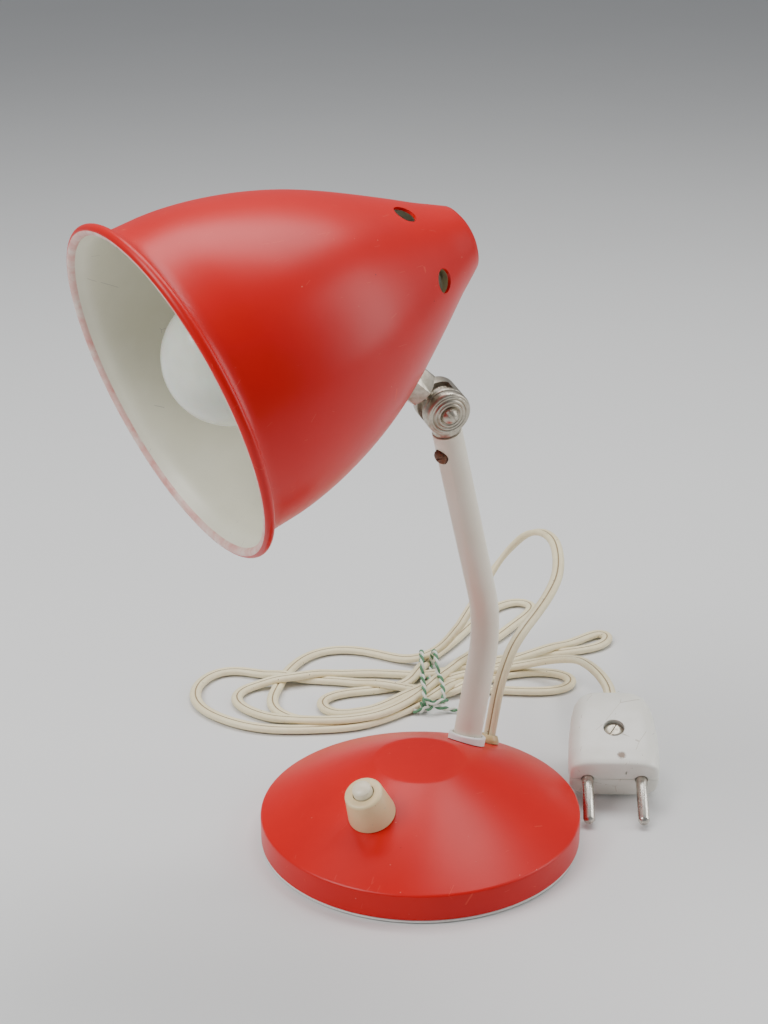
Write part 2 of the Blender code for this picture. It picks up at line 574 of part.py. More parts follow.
def build_holder(shade, holder, neck_axis):
    # The strap's side view in the shade's Y and Z, from beside the neck to behind the holder.
    side_view = ((-0.0315, 0.0405), (-0.0288, 0.0360), (-0.0256, 0.0305), (-0.0198, 0.0222),
                 (-0.0160, 0.0178), (-0.0120, 0.0158), (0.0080, 0.0158))
    curve = bpy.data.curves.new("socket_bracket", "CURVE")
    curve.dimensions = "3D"
    spline = curve.splines.new("POLY")
    spline.points.add(len(side_view) - 1)
    for point, (y, z) in zip(spline.points, side_view):
        point.co = (y, z, 0, 1)
    curve.extrude = 0.0055
    # The strap's own X, Y and Z are the shade's Y, Z and X.
    turn = Matrix(((0, 0, 1, 0), (1, 0, 0, 0), (0, 1, 0, 0), (0, 0, 0, 1)))
    strap = place(bpy.data.objects.new("socket_bracket", curve), shade, ZINC, turn=turn)
    wall = strap.modifiers.new("Thickness", "SOLIDIFY")
    wall.thickness = 0.0012
    wall.offset = 0
    wall.use_even_offset = True
    strap = as_mesh(strap)
    boolean(strap, rod("strap_neck_hole", NECK_THREAD_RADIUS + GAP, NECK_TO_SHADE - 0.004,
                       NECK_TO_SHADE + 0.009, neck_axis, segments=24, home=CUTTERS))
    boolean(strap, rod("strap_screw_hole", 0.0021, 0.008, 0.030, holder, home=CUTTERS))

    rear, front, radius = HOLDER_REAR, HOLDER_FRONT, HOLDER_RADIUS
    body = turned("lamp_holder",
                  [(0.0092, front), (radius - 0.0006, front), (radius, front - 0.0006),
                   (radius, rear + 0.0085), (radius - 0.0015, rear + 0.0070),
                   (radius - 0.0015, rear + 0.0006), (radius - 0.0021, rear), (0, rear),
                   (0, rear + 0.0070), (0.0092, rear + 0.0070)], holder, BLACK_BAKELITE, segments=32)
    boolean(body, rod("holder_screw_hole", 0.0021, 0.008, 0.030, holder, home=CUTTERS))
    turned("holder_screw",
           [(0, 0.0285), (0.0018, 0.0285), (0.0018, 0.0149), (0.0032, 0.0149), (0.0030, 0.0138),
            (0.0016, 0.0131), (0, 0.0131)], holder, ZINC, segments=16)
    ring("holder_contact_sleeve", 0.0079, 0.0088, 0.0300, 0.0500, holder, BRASS)
    turned("bulb_cap",
           [(0, 0.0510), (0.0062, 0.0510), (0.0069, 0.0495), (0.0069, 0.0335), (0.0055, 0.0315),
            (0.0025, 0.0305), (0.0022, 0.0292), (0, 0.0290)], holder, NICKEL, segments=28)
    globe = (0, BULB_CENTRE)
    outer = arc(globe, BULB_RADIUS, 90, -38, 9) + [(0.0122, 0.0680), (0.0090, 0.0600), (0.0074, 0.0550),
                                                    (0.0068, 0.0513)]
    inner = offset_outline(outer, GLASS_WALL)
    inner[0] = (0, BULB_CENTRE + BULB_RADIUS - GLASS_WALL)
    outer[0] = (0, BULB_CENTRE + BULB_RADIUS)
    turned("bulb_globe", outer + inner[::-1], holder, OPAL_GLASS, segments=24)
    lead = ((0.0090, -0.0205, 0.0330), (0.0105, -0.0185, 0.0270), (0.0100, -0.0140, 0.0205),
            (0.0085, -0.0095, 0.0148), (0.0050, -0.0050, 0.0128))
    wire("holder_lead", smooth_route(lead, 0.003), 0.0013, holder, CREAM_FLEX, resolution=1)


# ---------------------------------------------------------------- flex, hank and plug

def build_flex(table):
    wire("cord_rise", smooth_route(ARCH_ROUTE, 0.0045), FLEX_WIDTH / 2, table, CREAM_FLEX)
    wire("cord_plug_run", smooth_route(PLUG_ROUTE, 0.0045), FLEX_WIDTH / 2, table, CREAM_FLEX)

    outline = smooth_route([(*point, 0) for point in HANK_OUTLINE], 0.0045, closed=True)
    middle = (HANK_TOP + HANK_BOTTOM) / 2
    hank = as_mesh(plate("cord_hank", [outline], HANK_TOP - HANK_BOTTOM, table, at=(0, 0, middle),
                         home=PARTS))
    hank.hide_render, hank.display_type = False, "TEXTURED"
    hank.data.materials.append(CREAM_FLEX)

    # Band round the waist, in the upright plane across the hank: its X and Y are Y and Z here.
    across = Matrix(((0, 0, 1, 0), (1, 0, 0, 0), (0, 1, 0, 0), (0, 0, 0, 1)))
    (near, far), (low, high) = TIE_SPAN
    clear = TIE_RADIUS + GAP
    groove = plate("tie_groove",
                   [[(near - 0.03, low - 0.02), (far + 0.03, low - 0.02), (far + 0.03, high + 0.02),
                     (near - 0.03, high + 0.02)],
                    rounded_rectangle((near + clear, low + clear), (far - clear, high - clear), 0.0016)],
                   2 * clear + 0.0004, table, home=CUTTERS, at=(TIE_X, 0, 0), turn=across)
    boolean(hank, as_mesh(groove))

    band = wire("cord_tie", [(*p, 0) for p in rounded_rectangle((near, low), (far, high), 0.0026)],
                TIE_RADIUS, table, closed=True, at=(TIE_X, 0, 0), turn=across, home=PARTS)
    band = as_mesh(band)
    band.hide_render, band.display_type = False, "TEXTURED"
    band.data.materials.append(GREEN_TWINE)
    tail = ((0.0040, near, 0.0030), (0.0060, 0.0955, 0.0024), (0.0090, 0.0950, 0.0018),
            (0.0130, 0.0948, 0.0014), (0.0170, 0.0955, 0.0013))
    boolean(band, as_mesh(wire("tie_tail", smooth_route(tail, 0.002), 0.0009, table, home=CUTTERS)), "UNION")
    knot = bmesh.new()
    bmesh.ops.create_uvsphere(knot, u_segments=12, v_segments=8, radius=0.0019,
                              matrix=Matrix.Translation((0.0058, near - 0.0024, 0.0028)))
    boolean(band, place(mesh_object("tie_knot", knot), table, home=CUTTERS), "UNION")


def plug_body(name, plug, home):
    """The whole plug body as a loft of rounded sections along Y, from the pins back to the tail."""
    sections = (  # distance back, half width, height above and below the pins
        (0.0, 0.0145, 0.0072, 0.0085), (0.0012, 0.0158, 0.0083, 0.0096), (0.0080, 0.0162, 0.0087, 0.0098),
        (0.0170, 0.0158, 0.0086, 0.0094), (0.0250, 0.0149, 0.0083, 0.0088),
        (0.0300, 0.0138, 0.0078, 0.0080), (0.0332, 0.0122, 0.0071, 0.0072),
        (0.0348, 0.0104, 0.0062, 0.0062), (0.0356, 0.0080, 0.0048, 0.0048))
    count = 28
    shape = bmesh.new()
    rings = []
    for back, half, above, below in sections:
        line = []
        for i in range(count):
            angle = 2 * pi * i / count
            x = abs(cos(angle)) ** 0.5 * (1 if cos(angle) > 0 else -1) * half
            z = abs(sin(angle)) ** 0.5 * (above if sin(angle) > 0 else -below)
            line.append(shape.verts.new((x, back, z)))
        rings.append(line)
    for first, second in zip(rings, rings[1:]):
        for i in range(count):
            j = (i + 1) % count
            shape.faces.new((first[i], first[j], second[j], second[i]))
    shape.faces.new(rings[0][::-1])
    shape.faces.new(rings[-1])
    bmesh.ops.recalc_face_normals(shape, faces=shape.faces)
    return place(mesh_object(name, shape), plug, home=home)


def build_plug(plug):
    along_y = Matrix.Rotation(-pi / 2, 4, "X")
    cutters = [rod("plug_cord_channel", FLEX_WIDTH / 2 + GAP, 0.0230, 0.050, plug, home=CUTTERS,
                   turn=along_y)]
    for side, x in (("left", -PIN_SPACING / 2), ("right", PIN_SPACING / 2)):
        turned(f"plug_pin_{side}",
               [(0, 0.0090), (PIN_RADIUS, 0.0090), (PIN_RADIUS, -PIN_LENGTH + 0.0012),
                (PIN_RADIUS - 0.0008, -PIN_LENGTH), (0, -PIN_LENGTH)], plug, NICKEL, segments=18,
               at=(x, 0, 0), turn=along_y)
        cutters.append(rod(f"plug_pin_seat_{side}", PIN_RADIUS + GAP, -0.001, 0.0093, plug,
                           home=CUTTERS, at=(x, 0, 0), turn=along_y))
    screw_at = (0, 0.0165, 0)
    cutters.append(rod("plug_screw_hole", 0.0019, -0.020, 0.020, plug, home=CUTTERS, at=screw_at))
    cutters.append(rod("plug_screw_recess", 0.0038, 0.0060, 0.020, plug, home=CUTTERS, at=screw_at))
    half_gap = GAP / 2
    for name, low, high in (("plug_cover", half_gap, 0.02), ("plug_base", -0.02, -half_gap)):
        half = plug_body(name, plug, PARTS)
        half.hide_render, half.display_type = False, "TEXTURED"
        half.data.materials.append(OFF_WHITE_PLASTIC)
        keep = box(name + "_side", (-0.03, -0.01, low), (0.03, 0.05, high), plug, home=CUTTERS)
        boolean(half, keep, "INTERSECT")
        for cutter in cutters:
            boolean(half, cutter)
    screw = turned("plug_screw",
                   [(0, 0.0076), (0.0022, 0.0075), (0.0034, 0.0070), (0.0034, 0.0063), (0.0016, 0.0063),
                    (0.0016, -0.0070), (0, -0.0070)], plug, NICKEL, segments=20, at=screw_at)
    slot_turn = Matrix.Rotation(radians(60), 4, "Z")
    boolean(screw, box("plug_screw_slot", (-0.004, -0.0004, 0.0070), (0.004, 0.0004, 0.012), plug,
                       home=CUTTERS, at=screw_at, turn=slot_turn))


# ---------------------------------------------------------------- the lamp

def build():
    lamp = empty("lamp")
    about_x = lambda angle: Matrix.Rotation(angle, 4, "X")
    about_z = lambda angle: Matrix.Rotation(angle, 4, "Z")
    switch = empty("switch_frame", lamp, (*SWITCH_AT, cone_height(-SWITCH_AT[1])), about_x(CONE_SLOPE))
    grommet = empty("grommet_frame", lamp, (*GROMMET_AT, cone_height(GROMMET_AT[1])), about_x(-CONE_SLOPE))
    stem_foot = empty("stem_foot_frame", lamp, stem_foot_at(), about_x(-LOWER_LEAN))
    stem_top = empty("stem_top_frame", lamp, KNUCKLE_AT, about_x(UPPER_LEAN))
    swivel = empty("swivel_axis", stem_top, turn=about_z(SWIVEL_REST))
    tilt = empty("tilt_axis", swivel, turn=about_x(TILT_REST))
    neck_axis = empty("neck_frame", tilt, turn=about_z(NECK_TWIST))
    to_shade = Matrix.Translation((0, 0, NECK_TO_SHADE)) @ about_x(SHADE_PITCH)
    shade = empty("shade_frame", neck_axis, turn=to_shade @ Matrix.Translation(-SHADE_ENTRY))
    holder = empty("holder_frame", shade, (*HOLDER_OFFSET, 0))
    table = empty("flex_frame", lamp, turn=about_z(FLEX_TURN))
    plug = empty("plug_frame", table, PLUG_AT, about_z(PLUG_YAW) @ about_x(PLUG_TILT))

    foot = cone_height(0.060)
    cone = turned("cone_clearance",
                  [(0, cone_height(0) + GAP), (0.060, foot + GAP), (0.060, foot - 0.02), (0, foot - 0.02)],
                  lamp, segments=96, home=CUTTERS)
    build_base(lamp, switch, grommet, stem_foot)
    build_switch(switch, cone)
    build_outlet(lamp, grommet, cone)
    build_stem(lamp, stem_foot, stem_top, cone)
    build_knuckle(swivel)
    build_neck(tilt, neck_axis)
    build_shade(shade, neck_axis)
    build_holder(shade, holder, neck_axis)
    build_flex(table)
    build_plug(plug)


clear_scene()
PARTS = new_collection("desk_lamp")
CUTTERS = new_collection("cutters")
RED_ENAMEL = material("red_enamel", (0.55, 0.015, 0.02), 0.28)
WHITE_ENAMEL = material("white_enamel", (0.82, 0.80, 0.74), 0.35)
WHITE_PLASTIC = material("white_plastic", (0.88, 0.88, 0.85), 0.4)
IVORY = material("ivory_plastic", (0.80, 0.76, 0.62), 0.35)
PALE_IVORY = material("pale_ivory_plastic", (0.86, 0.83, 0.72), 0.35)
OFF_WHITE_PLASTIC = material("off_white_plastic", (0.80, 0.77, 0.68), 0.4)
AMBER_PLASTIC = material("amber_plastic", (0.50, 0.32, 0.08), 0.4)
BROWN_BAKELITE = material("brown_bakelite", (0.12, 0.05, 0.03), 0.35)
BLACK_BAKELITE = material("black_bakelite", (0.02, 0.02, 0.02), 0.35)
PALE_FELT = material("pale_felt", (0.80, 0.78, 0.72), 0.9)
CREAM_FLEX = material("cream_flex", (0.80, 0.74, 0.60), 0.5)
GREEN_TWINE = material("green_twine", (0.35, 0.45, 0.30), 0.9)
DARK_FIBRE = material("dark_fibre", (0.10, 0.07, 0.05), 0.8)
OPAL_GLASS = material("opal_glass", (0.92, 0.92, 0.90), 0.15)
CAST_IRON = material("cast_iron", (0.10, 0.10, 0.10), 0.7, 0.9)
ZINC = material("zinc_plate", (0.55, 0.55, 0.53), 0.4, 0.9)
STEEL = material("steel", (0.60, 0.60, 0.60), 0.3, 1.0)
NICKEL = material("nickel_plate", (0.52, 0.49, 0.43), 0.3, 1.0)
RUSTY_STEEL = material("rusty_steel", (0.14, 0.06, 0.04), 0.7, 0.6)
BRASS = material("brass", (0.70, 0.52, 0.22), 0.35, 1.0)
build()
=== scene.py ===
"""Looks for the small red desk lamp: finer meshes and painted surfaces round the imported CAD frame.

Metres, in the lamp's own frame. The flex, the plug, the camera and the lights are laid out in
axes turned from the lamp's by FLEX_TURN, with X to the camera's right and Y away from it.
"""
import json
from math import atan2, ceil, cos, hypot, pi, radians, sin, tan

import bmesh
import bpy
import numpy as np
from mathutils import Matrix, Vector


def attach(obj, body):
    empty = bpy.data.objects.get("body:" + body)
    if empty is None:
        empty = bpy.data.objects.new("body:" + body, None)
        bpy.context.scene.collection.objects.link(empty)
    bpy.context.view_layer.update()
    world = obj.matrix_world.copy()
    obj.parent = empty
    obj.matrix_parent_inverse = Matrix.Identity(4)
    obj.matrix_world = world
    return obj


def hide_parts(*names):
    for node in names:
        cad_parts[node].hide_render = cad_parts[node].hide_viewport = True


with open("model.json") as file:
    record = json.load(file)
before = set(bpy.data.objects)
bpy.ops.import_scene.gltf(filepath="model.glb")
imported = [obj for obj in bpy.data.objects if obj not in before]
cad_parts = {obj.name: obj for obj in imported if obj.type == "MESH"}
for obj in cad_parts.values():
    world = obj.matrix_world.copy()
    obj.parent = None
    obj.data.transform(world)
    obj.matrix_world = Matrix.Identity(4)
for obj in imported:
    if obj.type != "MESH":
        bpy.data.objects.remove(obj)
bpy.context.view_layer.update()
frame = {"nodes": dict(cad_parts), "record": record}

NODES = frame["nodes"]

GAP = 0.0003
BASE_RADIUS = 0.055
CONE_FOOT = (0.0545, 0.0103)
DISC_RADIUS, DISC_HEIGHT = 0.01585, 0.02885
CONE_SLOPE = atan2(DISC_HEIGHT - CONE_FOOT[1], CONE_FOOT[0] - DISC_RADIUS)
SHELL_WALL, SHELL_BOTTOM, PAD_THICKNESS = 0.0013, 0.0012, 0.0009
SWITCH_AT = (0, -0.0293)
SWITCH_RADIUS, SWITCH_TOP_RADIUS, SWITCH_HEIGHT = 0.008, 0.00655, 0.0115
BUTTON_RADIUS, BUTTON_TOP = 0.0033, 0.0146
GROMMET_AT = (0, 0.045)
STEM_RADIUS, STEM_WALL = 0.005, 0.0012
STEM_BEND_AT, STEM_BEND_RADIUS = Vector((0, 0.0447, 0.0624)), 0.041
LOWER_LEAN, UPPER_LEAN = radians(19.9), radians(19.3)
KNUCKLE_AT = Vector((0, 0.0131, 0.1525))
STEM_TOP_BELOW_KNUCKLE, STEM_FOOT_INSIDE = 0.0102, 0.010
GRUB_SCREW_DROP, GRUB_SCREW_SIDE = 0.0178, radians(-14)
SWIVEL_REST, TILT_REST = radians(-35.6), radians(31.6)
DRUM_RADIUS, DRUM_WALL, DRUM_BACK, DRUM_FRONT = 0.0076, 0.0013, -0.0068, 0.0034
CAP_FRONT = 0.0074
WINDOW_HALF_WIDTH, WINDOW_FROM, WINDOW_TO = 0.0021, radians(-36), radians(118)
EYE_RADIUS, EYE_HALF_WIDTH = 0.0054, 0.0017
HINGE_SCREW_RADIUS, HINGE_BORE_RADIUS = 0.0018, 0.0021
NECK_RADIUS, NECK_THREAD_RADIUS, NECK_TO_SHADE = 0.0029, 0.0040, 0.0219
NECK_TWIST, SHADE_PITCH = radians(14.1), radians(59.5)
NECK_NUT_ACROSS, PIVOT_NUT_ACROSS = 0.0112, 0.0062
SHADE_ENTRY = Vector((0, -0.03106, 0.0347))
SHADE_WALL, REAR_CAP_RADIUS = 0.0010, 0.0094
RIM_BEAD_AT, RIM_BEAD_RADIUS, RIM_OUTER_RADIUS = 0.1087, 0.0017, 0.05476
SHADE_OUTLINE = (  # distance from the rear, radius
    (0.100, 0.0499), (0.090, 0.0495), (0.080, 0.0481), (0.070, 0.0458), (0.060, 0.0427),
    (0.050, 0.0387), (0.040, 0.0337), (0.030, 0.0280), (0.020, 0.0220), (0.012, 0.0170),
    (0.006, 0.0136), (0.002, 0.0113),
)
VENT_COUNT, VENT_RADIUS, VENT_AT = 6, 0.00375, (0.0223, 0.0235)
VENT_TURN = radians(33)
HOLDER_OFFSET = (0.0006, 0.0014)
BULB_CENTRE, BULB_RADIUS, GLASS_WALL = 0.0867, 0.0205, 0.0008
FLEX_TURN = radians(34)
FLEX_WIDTH, FLEX_CORE, FLEX_SPREAD = 0.0046, 0.00125, 0.00105
PLUG_AT = (0.0693, 0.0196, 0.0093)
PLUG_TILT, PLUG_YAW = radians(22.5), radians(-3.2)
PIN_RADIUS, PIN_SPACING, PIN_LENGTH = 0.002, 0.019, 0.019

ARCH_ROUTE = (
    (0.0242, 0.0359, 0.0113), (0.0252, 0.0373, 0.0150), (0.0262, 0.0388, 0.0188),
    (0.0275, 0.0408, 0.0255), (0.0292, 0.0432, 0.0335), (0.0314, 0.0460, 0.0402),
    (0.0345, 0.0502, 0.0464),
    (0.0390, 0.0560, 0.0510), (0.0440, 0.0635, 0.0540), (0.0492, 0.0745, 0.0560),
    (0.0535, 0.0880, 0.0575), (0.0555, 0.1040, 0.0585), (0.0550, 0.1200, 0.0590),
    (0.0515, 0.1335, 0.0570), (0.0460, 0.1420, 0.0525), (0.0405, 0.1450, 0.0460),
    (0.0355, 0.1440, 0.0400), (0.0302, 0.1400, 0.0335), (0.0252, 0.1350, 0.0265),
    (0.0203, 0.1310, 0.0200), (0.0160, 0.1270, 0.0145), (0.0120, 0.1230, 0.0112),
)
PLUG_ROUTE = (
    (0.0560, 0.1130, 0.0113), (0.0592, 0.1090, 0.0128), (0.0614, 0.1045, 0.0148),
    (0.0632, 0.0970, 0.0182), (0.0646, 0.0880, 0.0218), (0.0658, 0.0795, 0.0246),
    (0.0673, 0.0715, 0.0265), (0.0692, 0.0645, 0.0269), (0.0709, 0.0590, 0.0256),
    (0.07126, 0.05465, 0.02384), (0.07095, 0.0491, 0.02155),
)
# The hank's runs on the table, in millimetres, in the order that the flex takes them.
HANK_ROUTE = (
    (5, 118, 9), (-3, 120, 7), (-11, 128, 5), (-20, 138, 3), (-32, 143, 2), (-43, 138, 2), (-50, 126, 2),
    (-55, 107, 2), (-58, 94, 2), (-54, 83, 2), (-44, 77, 2), (-29, 76, 2), (-14, 81, 2),
    (-4, 91, 2), (4, 96, 3),
    (12, 100, 3), (22, 107, 3), (35, 115, 3), (51, 118, 3), (62, 116, 3), (67, 109, 3),
    (62, 102, 2), (50, 101, 2), (36, 103, 2), (22, 105, 2), (4, 104, 2),
    (-6, 102, 4), (-26, 108, 4), (-46, 110, 4), (-58, 116, 3), (-75, 123, 3), (-85, 116, 3),
    (-89, 104, 2), (-85, 90, 2), (-73, 79, 2), (-58, 72, 2), (-40, 72, 2), (-21, 75, 2),
    (-8, 84, 3), (4, 92, 4),
    (14, 102, 4), (22, 110, 5), (35, 121, 5), (52, 131, 5), (69, 141, 5), (80, 152, 5),
    (86, 148, 4), (80, 139, 3), (70, 136, 3), (56, 133, 3), (39, 129, 3), (23, 123, 3), (4, 111, 4),
    (-10, 110, 6), (-30, 111, 6), (-45, 107, 7), (-61, 104, 6), (-71, 100, 5), (-74, 94, 4),
    (-69, 85, 4), (-58, 78, 4), (-41, 75, 4), (-21, 76, 4), (-8, 83, 5), (4, 94, 7),
    (14, 106, 9), (27, 125, 9), (36, 138, 8), (43, 152, 7), (52, 167, 6), (55, 178, 5),
    (47, 183, 5), (37, 174, 6), (26, 152, 8), (15, 128, 9), (4, 113, 9),
    (0, 103, 4), (-14, 102, 3), (-28, 103, 2), (-37, 100, 2), (-40, 93, 2), (-37, 86, 2),
    (-27, 83, 2), (-17, 84, 2), (-8, 89, 4), (0, 96, 6), (14, 101, 8), (28, 105, 9), (42, 109, 10),
)
FLEX_LENGTH, FLEX_STEP = 1.5, 0.0025
TIE_X, TWINE_RADIUS, TWINE_LAY, TWINE_STEP = 0.004, 0.00088, 0.0062, 0.0004
CAMERA_AT, CAMERA_PITCH, CAMERA_ROLL = (-0.01152, -0.5761, 0.35165), radians(21.90), radians(-0.515)


# ---------------------------------------------------------------- frames

def about(axis, angle):
    return Matrix.Rotation(angle, 4, axis)


def shift(at):
    return Matrix.Translation(at)


def cone_height(radius):
    return DISC_HEIGHT - (radius - DISC_RADIUS) * tan(CONE_SLOPE)


def stem_foot_at():
    along = Vector((0, tan(LOWER_LEAN), 1))
    z_at_axis = STEM_BEND_AT.z - STEM_BEND_AT.y / along.y
    y = (cone_height(0) - z_at_axis) / (1 / along.y + tan(CONE_SLOPE))
    return Vector((0, y, cone_height(y)))


LAMP = Matrix()
SWITCH = shift((*SWITCH_AT, cone_height(-SWITCH_AT[1]))) @ about("X", CONE_SLOPE)
GROMMET = shift((*GROMMET_AT, cone_height(GROMMET_AT[1]))) @ about("X", -CONE_SLOPE)
STEM_FOOT = shift(stem_foot_at()) @ about("X", -LOWER_LEAN)
STEM_TOP = shift(KNUCKLE_AT) @ about("X", UPPER_LEAN)
SWIVEL = STEM_TOP @ about("Z", SWIVEL_REST)
TILT = SWIVEL @ about("X", TILT_REST)
NECK = TILT @ about("Z", NECK_TWIST)
SHADE = NECK @ shift((0, 0, NECK_TO_SHADE)) @ about("X", SHADE_PITCH) @ shift(-SHADE_ENTRY)
HOLDER = SHADE @ shift((*HOLDER_OFFSET, 0))
TABLE = about("Z", FLEX_TURN)
PLUG = TABLE @ shift(PLUG_AT) @ about("Z", PLUG_YAW) @ about("X", PLUG_TILT)
ALONG_X, ALONG_Y = about("Y", pi / 2), about("X", -pi / 2)


# ---------------------------------------------------------------- meshes

def new_object(name, vertices, faces, place=Matrix()):
    mesh = bpy.data.meshes.new(name)
    mesh.from_pydata([tuple(v) for v in vertices], [], faces)
    mesh.transform(place)
    obj = bpy.data.objects.new(name, mesh)
    bpy.context.scene.collection.objects.link(obj)
    return obj


def face_outward(obj):
    shape = bmesh.new()
    shape.from_mesh(obj.data)
    bmesh.ops.recalc_face_normals(shape, faces=shape.faces)
    shape.to_mesh(obj.data)
    shape.free()
    return obj


def soften(outline, radius, steps=3, closed=False):
    """An outline with its corners rounded, except where two edges nearly line up."""
    count, points = len(outline), []
    for i, corner in enumerate(outline):
        if not closed and i in (0, count - 1):
            points.append(corner)
            continue
        here = Vector(corner)
        before, after = Vector(outline[i - 1]) - here, Vector(outline[(i + 1) % count]) - here
        if before.length < 1e-7 or after.length < 1e-7 or before.angle(after) > radians(165):
            points.append(corner)
            continue
        reach = min(radius, 0.45 * before.length, 0.45 * after.length)
        start, end = here + before.normalized() * reach, here + after.normalized() * reach
        for k in range(steps + 1):
            t = k / steps
            points.append(tuple((1 - t)**2 * start + 2 * t * (1 - t) * here + t * t * end))
    return points


def lathe(name, outline, place, segments=96, corner=0.0):
    """A solid of revolution about Z, from (radius, z) points that run down its outer side."""
    closed = outline[0][0] > 0 and outline[-1][0] > 0
    if corner:
        outline = soften(outline, corner, closed=closed)
    vertices, rows = [], []
    for r, z in outline:
        count = segments if r > 1e-9 else 1
        rows.append([len(vertices) + i for i in range(count)])
        vertices += [(r * cos(2 * pi * i / segments), r * sin(2 * pi * i / segments), z)
                     for i in range(count)]
    faces = []
    for upper, lower in zip(rows, rows[1:] + (rows[:1] if closed else [])):
        for i in range(segments):
            j = (i + 1) % segments
            loop = [upper[i % len(upper)], lower[i % len(lower)], lower[j % len(lower)],
                    upper[j % len(upper)]]
            loop = [v for k, v in enumerate(loop) if v != loop[k - 1]]
            if len(loop) > 2:
                faces.append(loop)
    return new_object(name, vertices, faces, place)


def rod(radius, low, high, place, segments=64):
    return lathe("cutter", [(0, high), (radius, high), (radius, low), (0, low)], place, segments)


def block(low, high, place):
    corners = [(x, y, z) for x in (low[0], high[0]) for y in (low[1], high[1]) for z in (low[2], high[2])]
    faces = [(0, 1, 3, 2), (4, 6, 7, 5), (0, 4, 5, 1), (2, 3, 7, 6), (0, 2, 6, 4), (1, 5, 7, 3)]
    return new_object("cutter", corners, faces, place)


def apply_modifiers(obj):
    bpy.context.view_layer.update()
    evaluated = obj.evaluated_get(bpy.context.evaluated_depsgraph_get())
    mesh = bpy.data.meshes.new_from_object(evaluated)
    obj.modifiers.clear()
    obj.data = mesh
    return obj


def combine(obj, others, operation="DIFFERENCE"):
    for other in others:
        modifier = obj.modifiers.new("Shape", "BOOLEAN")
        modifier.operation, modifier.object, modifier.solver = operation, other, "EXACT"
    apply_modifiers(obj)
    for other in others:
        bpy.data.objects.remove(other, do_unlink=True)
    return obj


def bevel(obj, width, segments=2, angle=40):
    modifier = obj.modifiers.new("Edges", "BEVEL")
    modifier.width, modifier.segments = width, segments
    modifier.limit_method, modifier.angle_limit = "ANGLE", radians(angle)
    return apply_modifiers(obj)


def hexagon(name, across_flats, bore, low, high, place, chamfer=0.0005):
    """A hexagonal nut about Z with its corners turned off by a cone, as on a bought nut."""
    radius = across_flats / 3**0.5
    corners = [(radius * cos(pi * i / 3), radius * sin(pi * i / 3), z)
               for z in (low, high) for i in range(6)]
    faces = [tuple(range(5, -1, -1)), tuple(range(6, 12))]
    faces += [(i, (i + 1) % 6, (i + 1) % 6 + 6, i + 6) for i in range(6)]
    obj = new_object(name, corners, faces, place)
    flat = across_flats / 2
    turned_off = lathe("cutter", [(0, high), (flat * 0.96, high), (radius + 0.0001, high - chamfer * 1.4),
                                  (radius + 0.0001, low + chamfer * 1.4), (flat * 0.96, low), (0, low)],
                       place)
    combine(obj, [turned_off], "INTERSECT")
    combine(obj, [rod(bore, low - 0.01, high + 0.01, place)])
    return bevel(obj, 0.00012)


def even_route(points, step):
    """Points at an even step along a Catmull-Rom curve through the given ones."""
    points = [Vector(p) for p in points]
    ends = [2 * points[0] - points[1]] + points + [2 * points[-1] - points[-2]]
    fine = []
    for a, b, c, d in zip(ends, ends[1:], ends[2:], ends[3:]):
        for i in range(16):
            t = i / 16
            fine.append(0.5 * (2 * b + (c - a) * t + (2 * a - 5 * b + 4 * c - d) * t**2
                               + (3 * b - a - 3 * c + d) * t**3))
    fine = np.array([*fine, points[-1]])
    walked = np.concatenate([[0], np.cumsum(np.linalg.norm(np.diff(fine, axis=0), axis=1))])
    at = np.linspace(0, walked[-1], max(3, ceil(walked[-1] / step)))
    return np.stack([np.interp(at, walked, fine[:, k]) for k in range(3)], axis=1)


def line_frames(points, level=True):
    """Tangent, sideways and upward directions along a line; sideways stays level where it can."""
    tangents = np.gradient(points, axis=0)
    tangents /= np.linalg.norm(tangents, axis=1)[:, None]
    side, sides = None, []
    for t in tangents:
        flat = np.cross(t, (0, 0, 1))
        if side is None:
            side = flat if np.linalg.norm(flat) > 0.05 else np.array((1.0, 0, 0))
        side = side - t * (side @ t)
        side /= np.linalg.norm(side)
        if level:
            side = side + flat * (0.25 if flat @ side > 0 else -0.25)
            side = side - t * (side @ t)
            side /= np.linalg.norm(side)
        sides.append(side)
    sides = np.array(sides)
    return tangents, sides, np.cross(sides, tangents)


def sweep(name, points, section, place=Matrix(), level=True, inner=None):
    """A section, as (sideways, up) points, carried along a line; inner makes it a tube."""
    points = np.asarray(points, float)
    _, sides, ups = line_frames(points, level)
    count, total = len(section), len(points)
    vertices = []
    for shape in filter(None, (section, inner)):
        for p, s, u in zip(points, sides, ups):
            vertices += [p + s * x + u * y for x, y in shape]
    faces = []
    for layer in range(2 if inner else 1):
        base = layer * count * total
        for i in range(total - 1):
            for j in range(count):
                a, b = base + i * count + j, base + i * count + (j + 1) % count
                loop = (a, b, b + count, a + count)
                faces.append(loop if not layer else loop[::-1])
    if inner:
        base, last = count * total, (total - 1) * count
        for j in range(count):
            k = (j + 1) % count
            faces.append((j, base + j, base + k, k))
            faces.append((last + j, last + k, base + last + k, base + last + j))
    else:
        faces.append(tuple(range(count))[::-1])
        faces.append(tuple((total - 1) * count + j for j in range(count)))
    return face_outward(new_object(name, vertices, faces, place))


def circle(radius, count=48):
    return [(radius * cos(2 * pi * i / count), radius * sin(2 * pi * i / count)) for i in range(count)]


def arc(centre, radius, start, end, count):
    return [(centre[0] + radius * cos(radians(start + (end - start) * i / count)),
             centre[1] + radius * sin(radians(start + (end - start) * i / count)))
            for i in range(count + 1)]


def offset_outline(points, distance):
    moved = []
    for i, (r, z) in enumerate(points):
        before, after = points[max(i - 1, 0)], points[min(i + 1, len(points) - 1)]
        along = (after[0] - before[0], after[1] - before[1])
        length = hypot(*along)
        moved.append((r + along[1] / length * distance, z - along[0] / length * distance))
    return moved


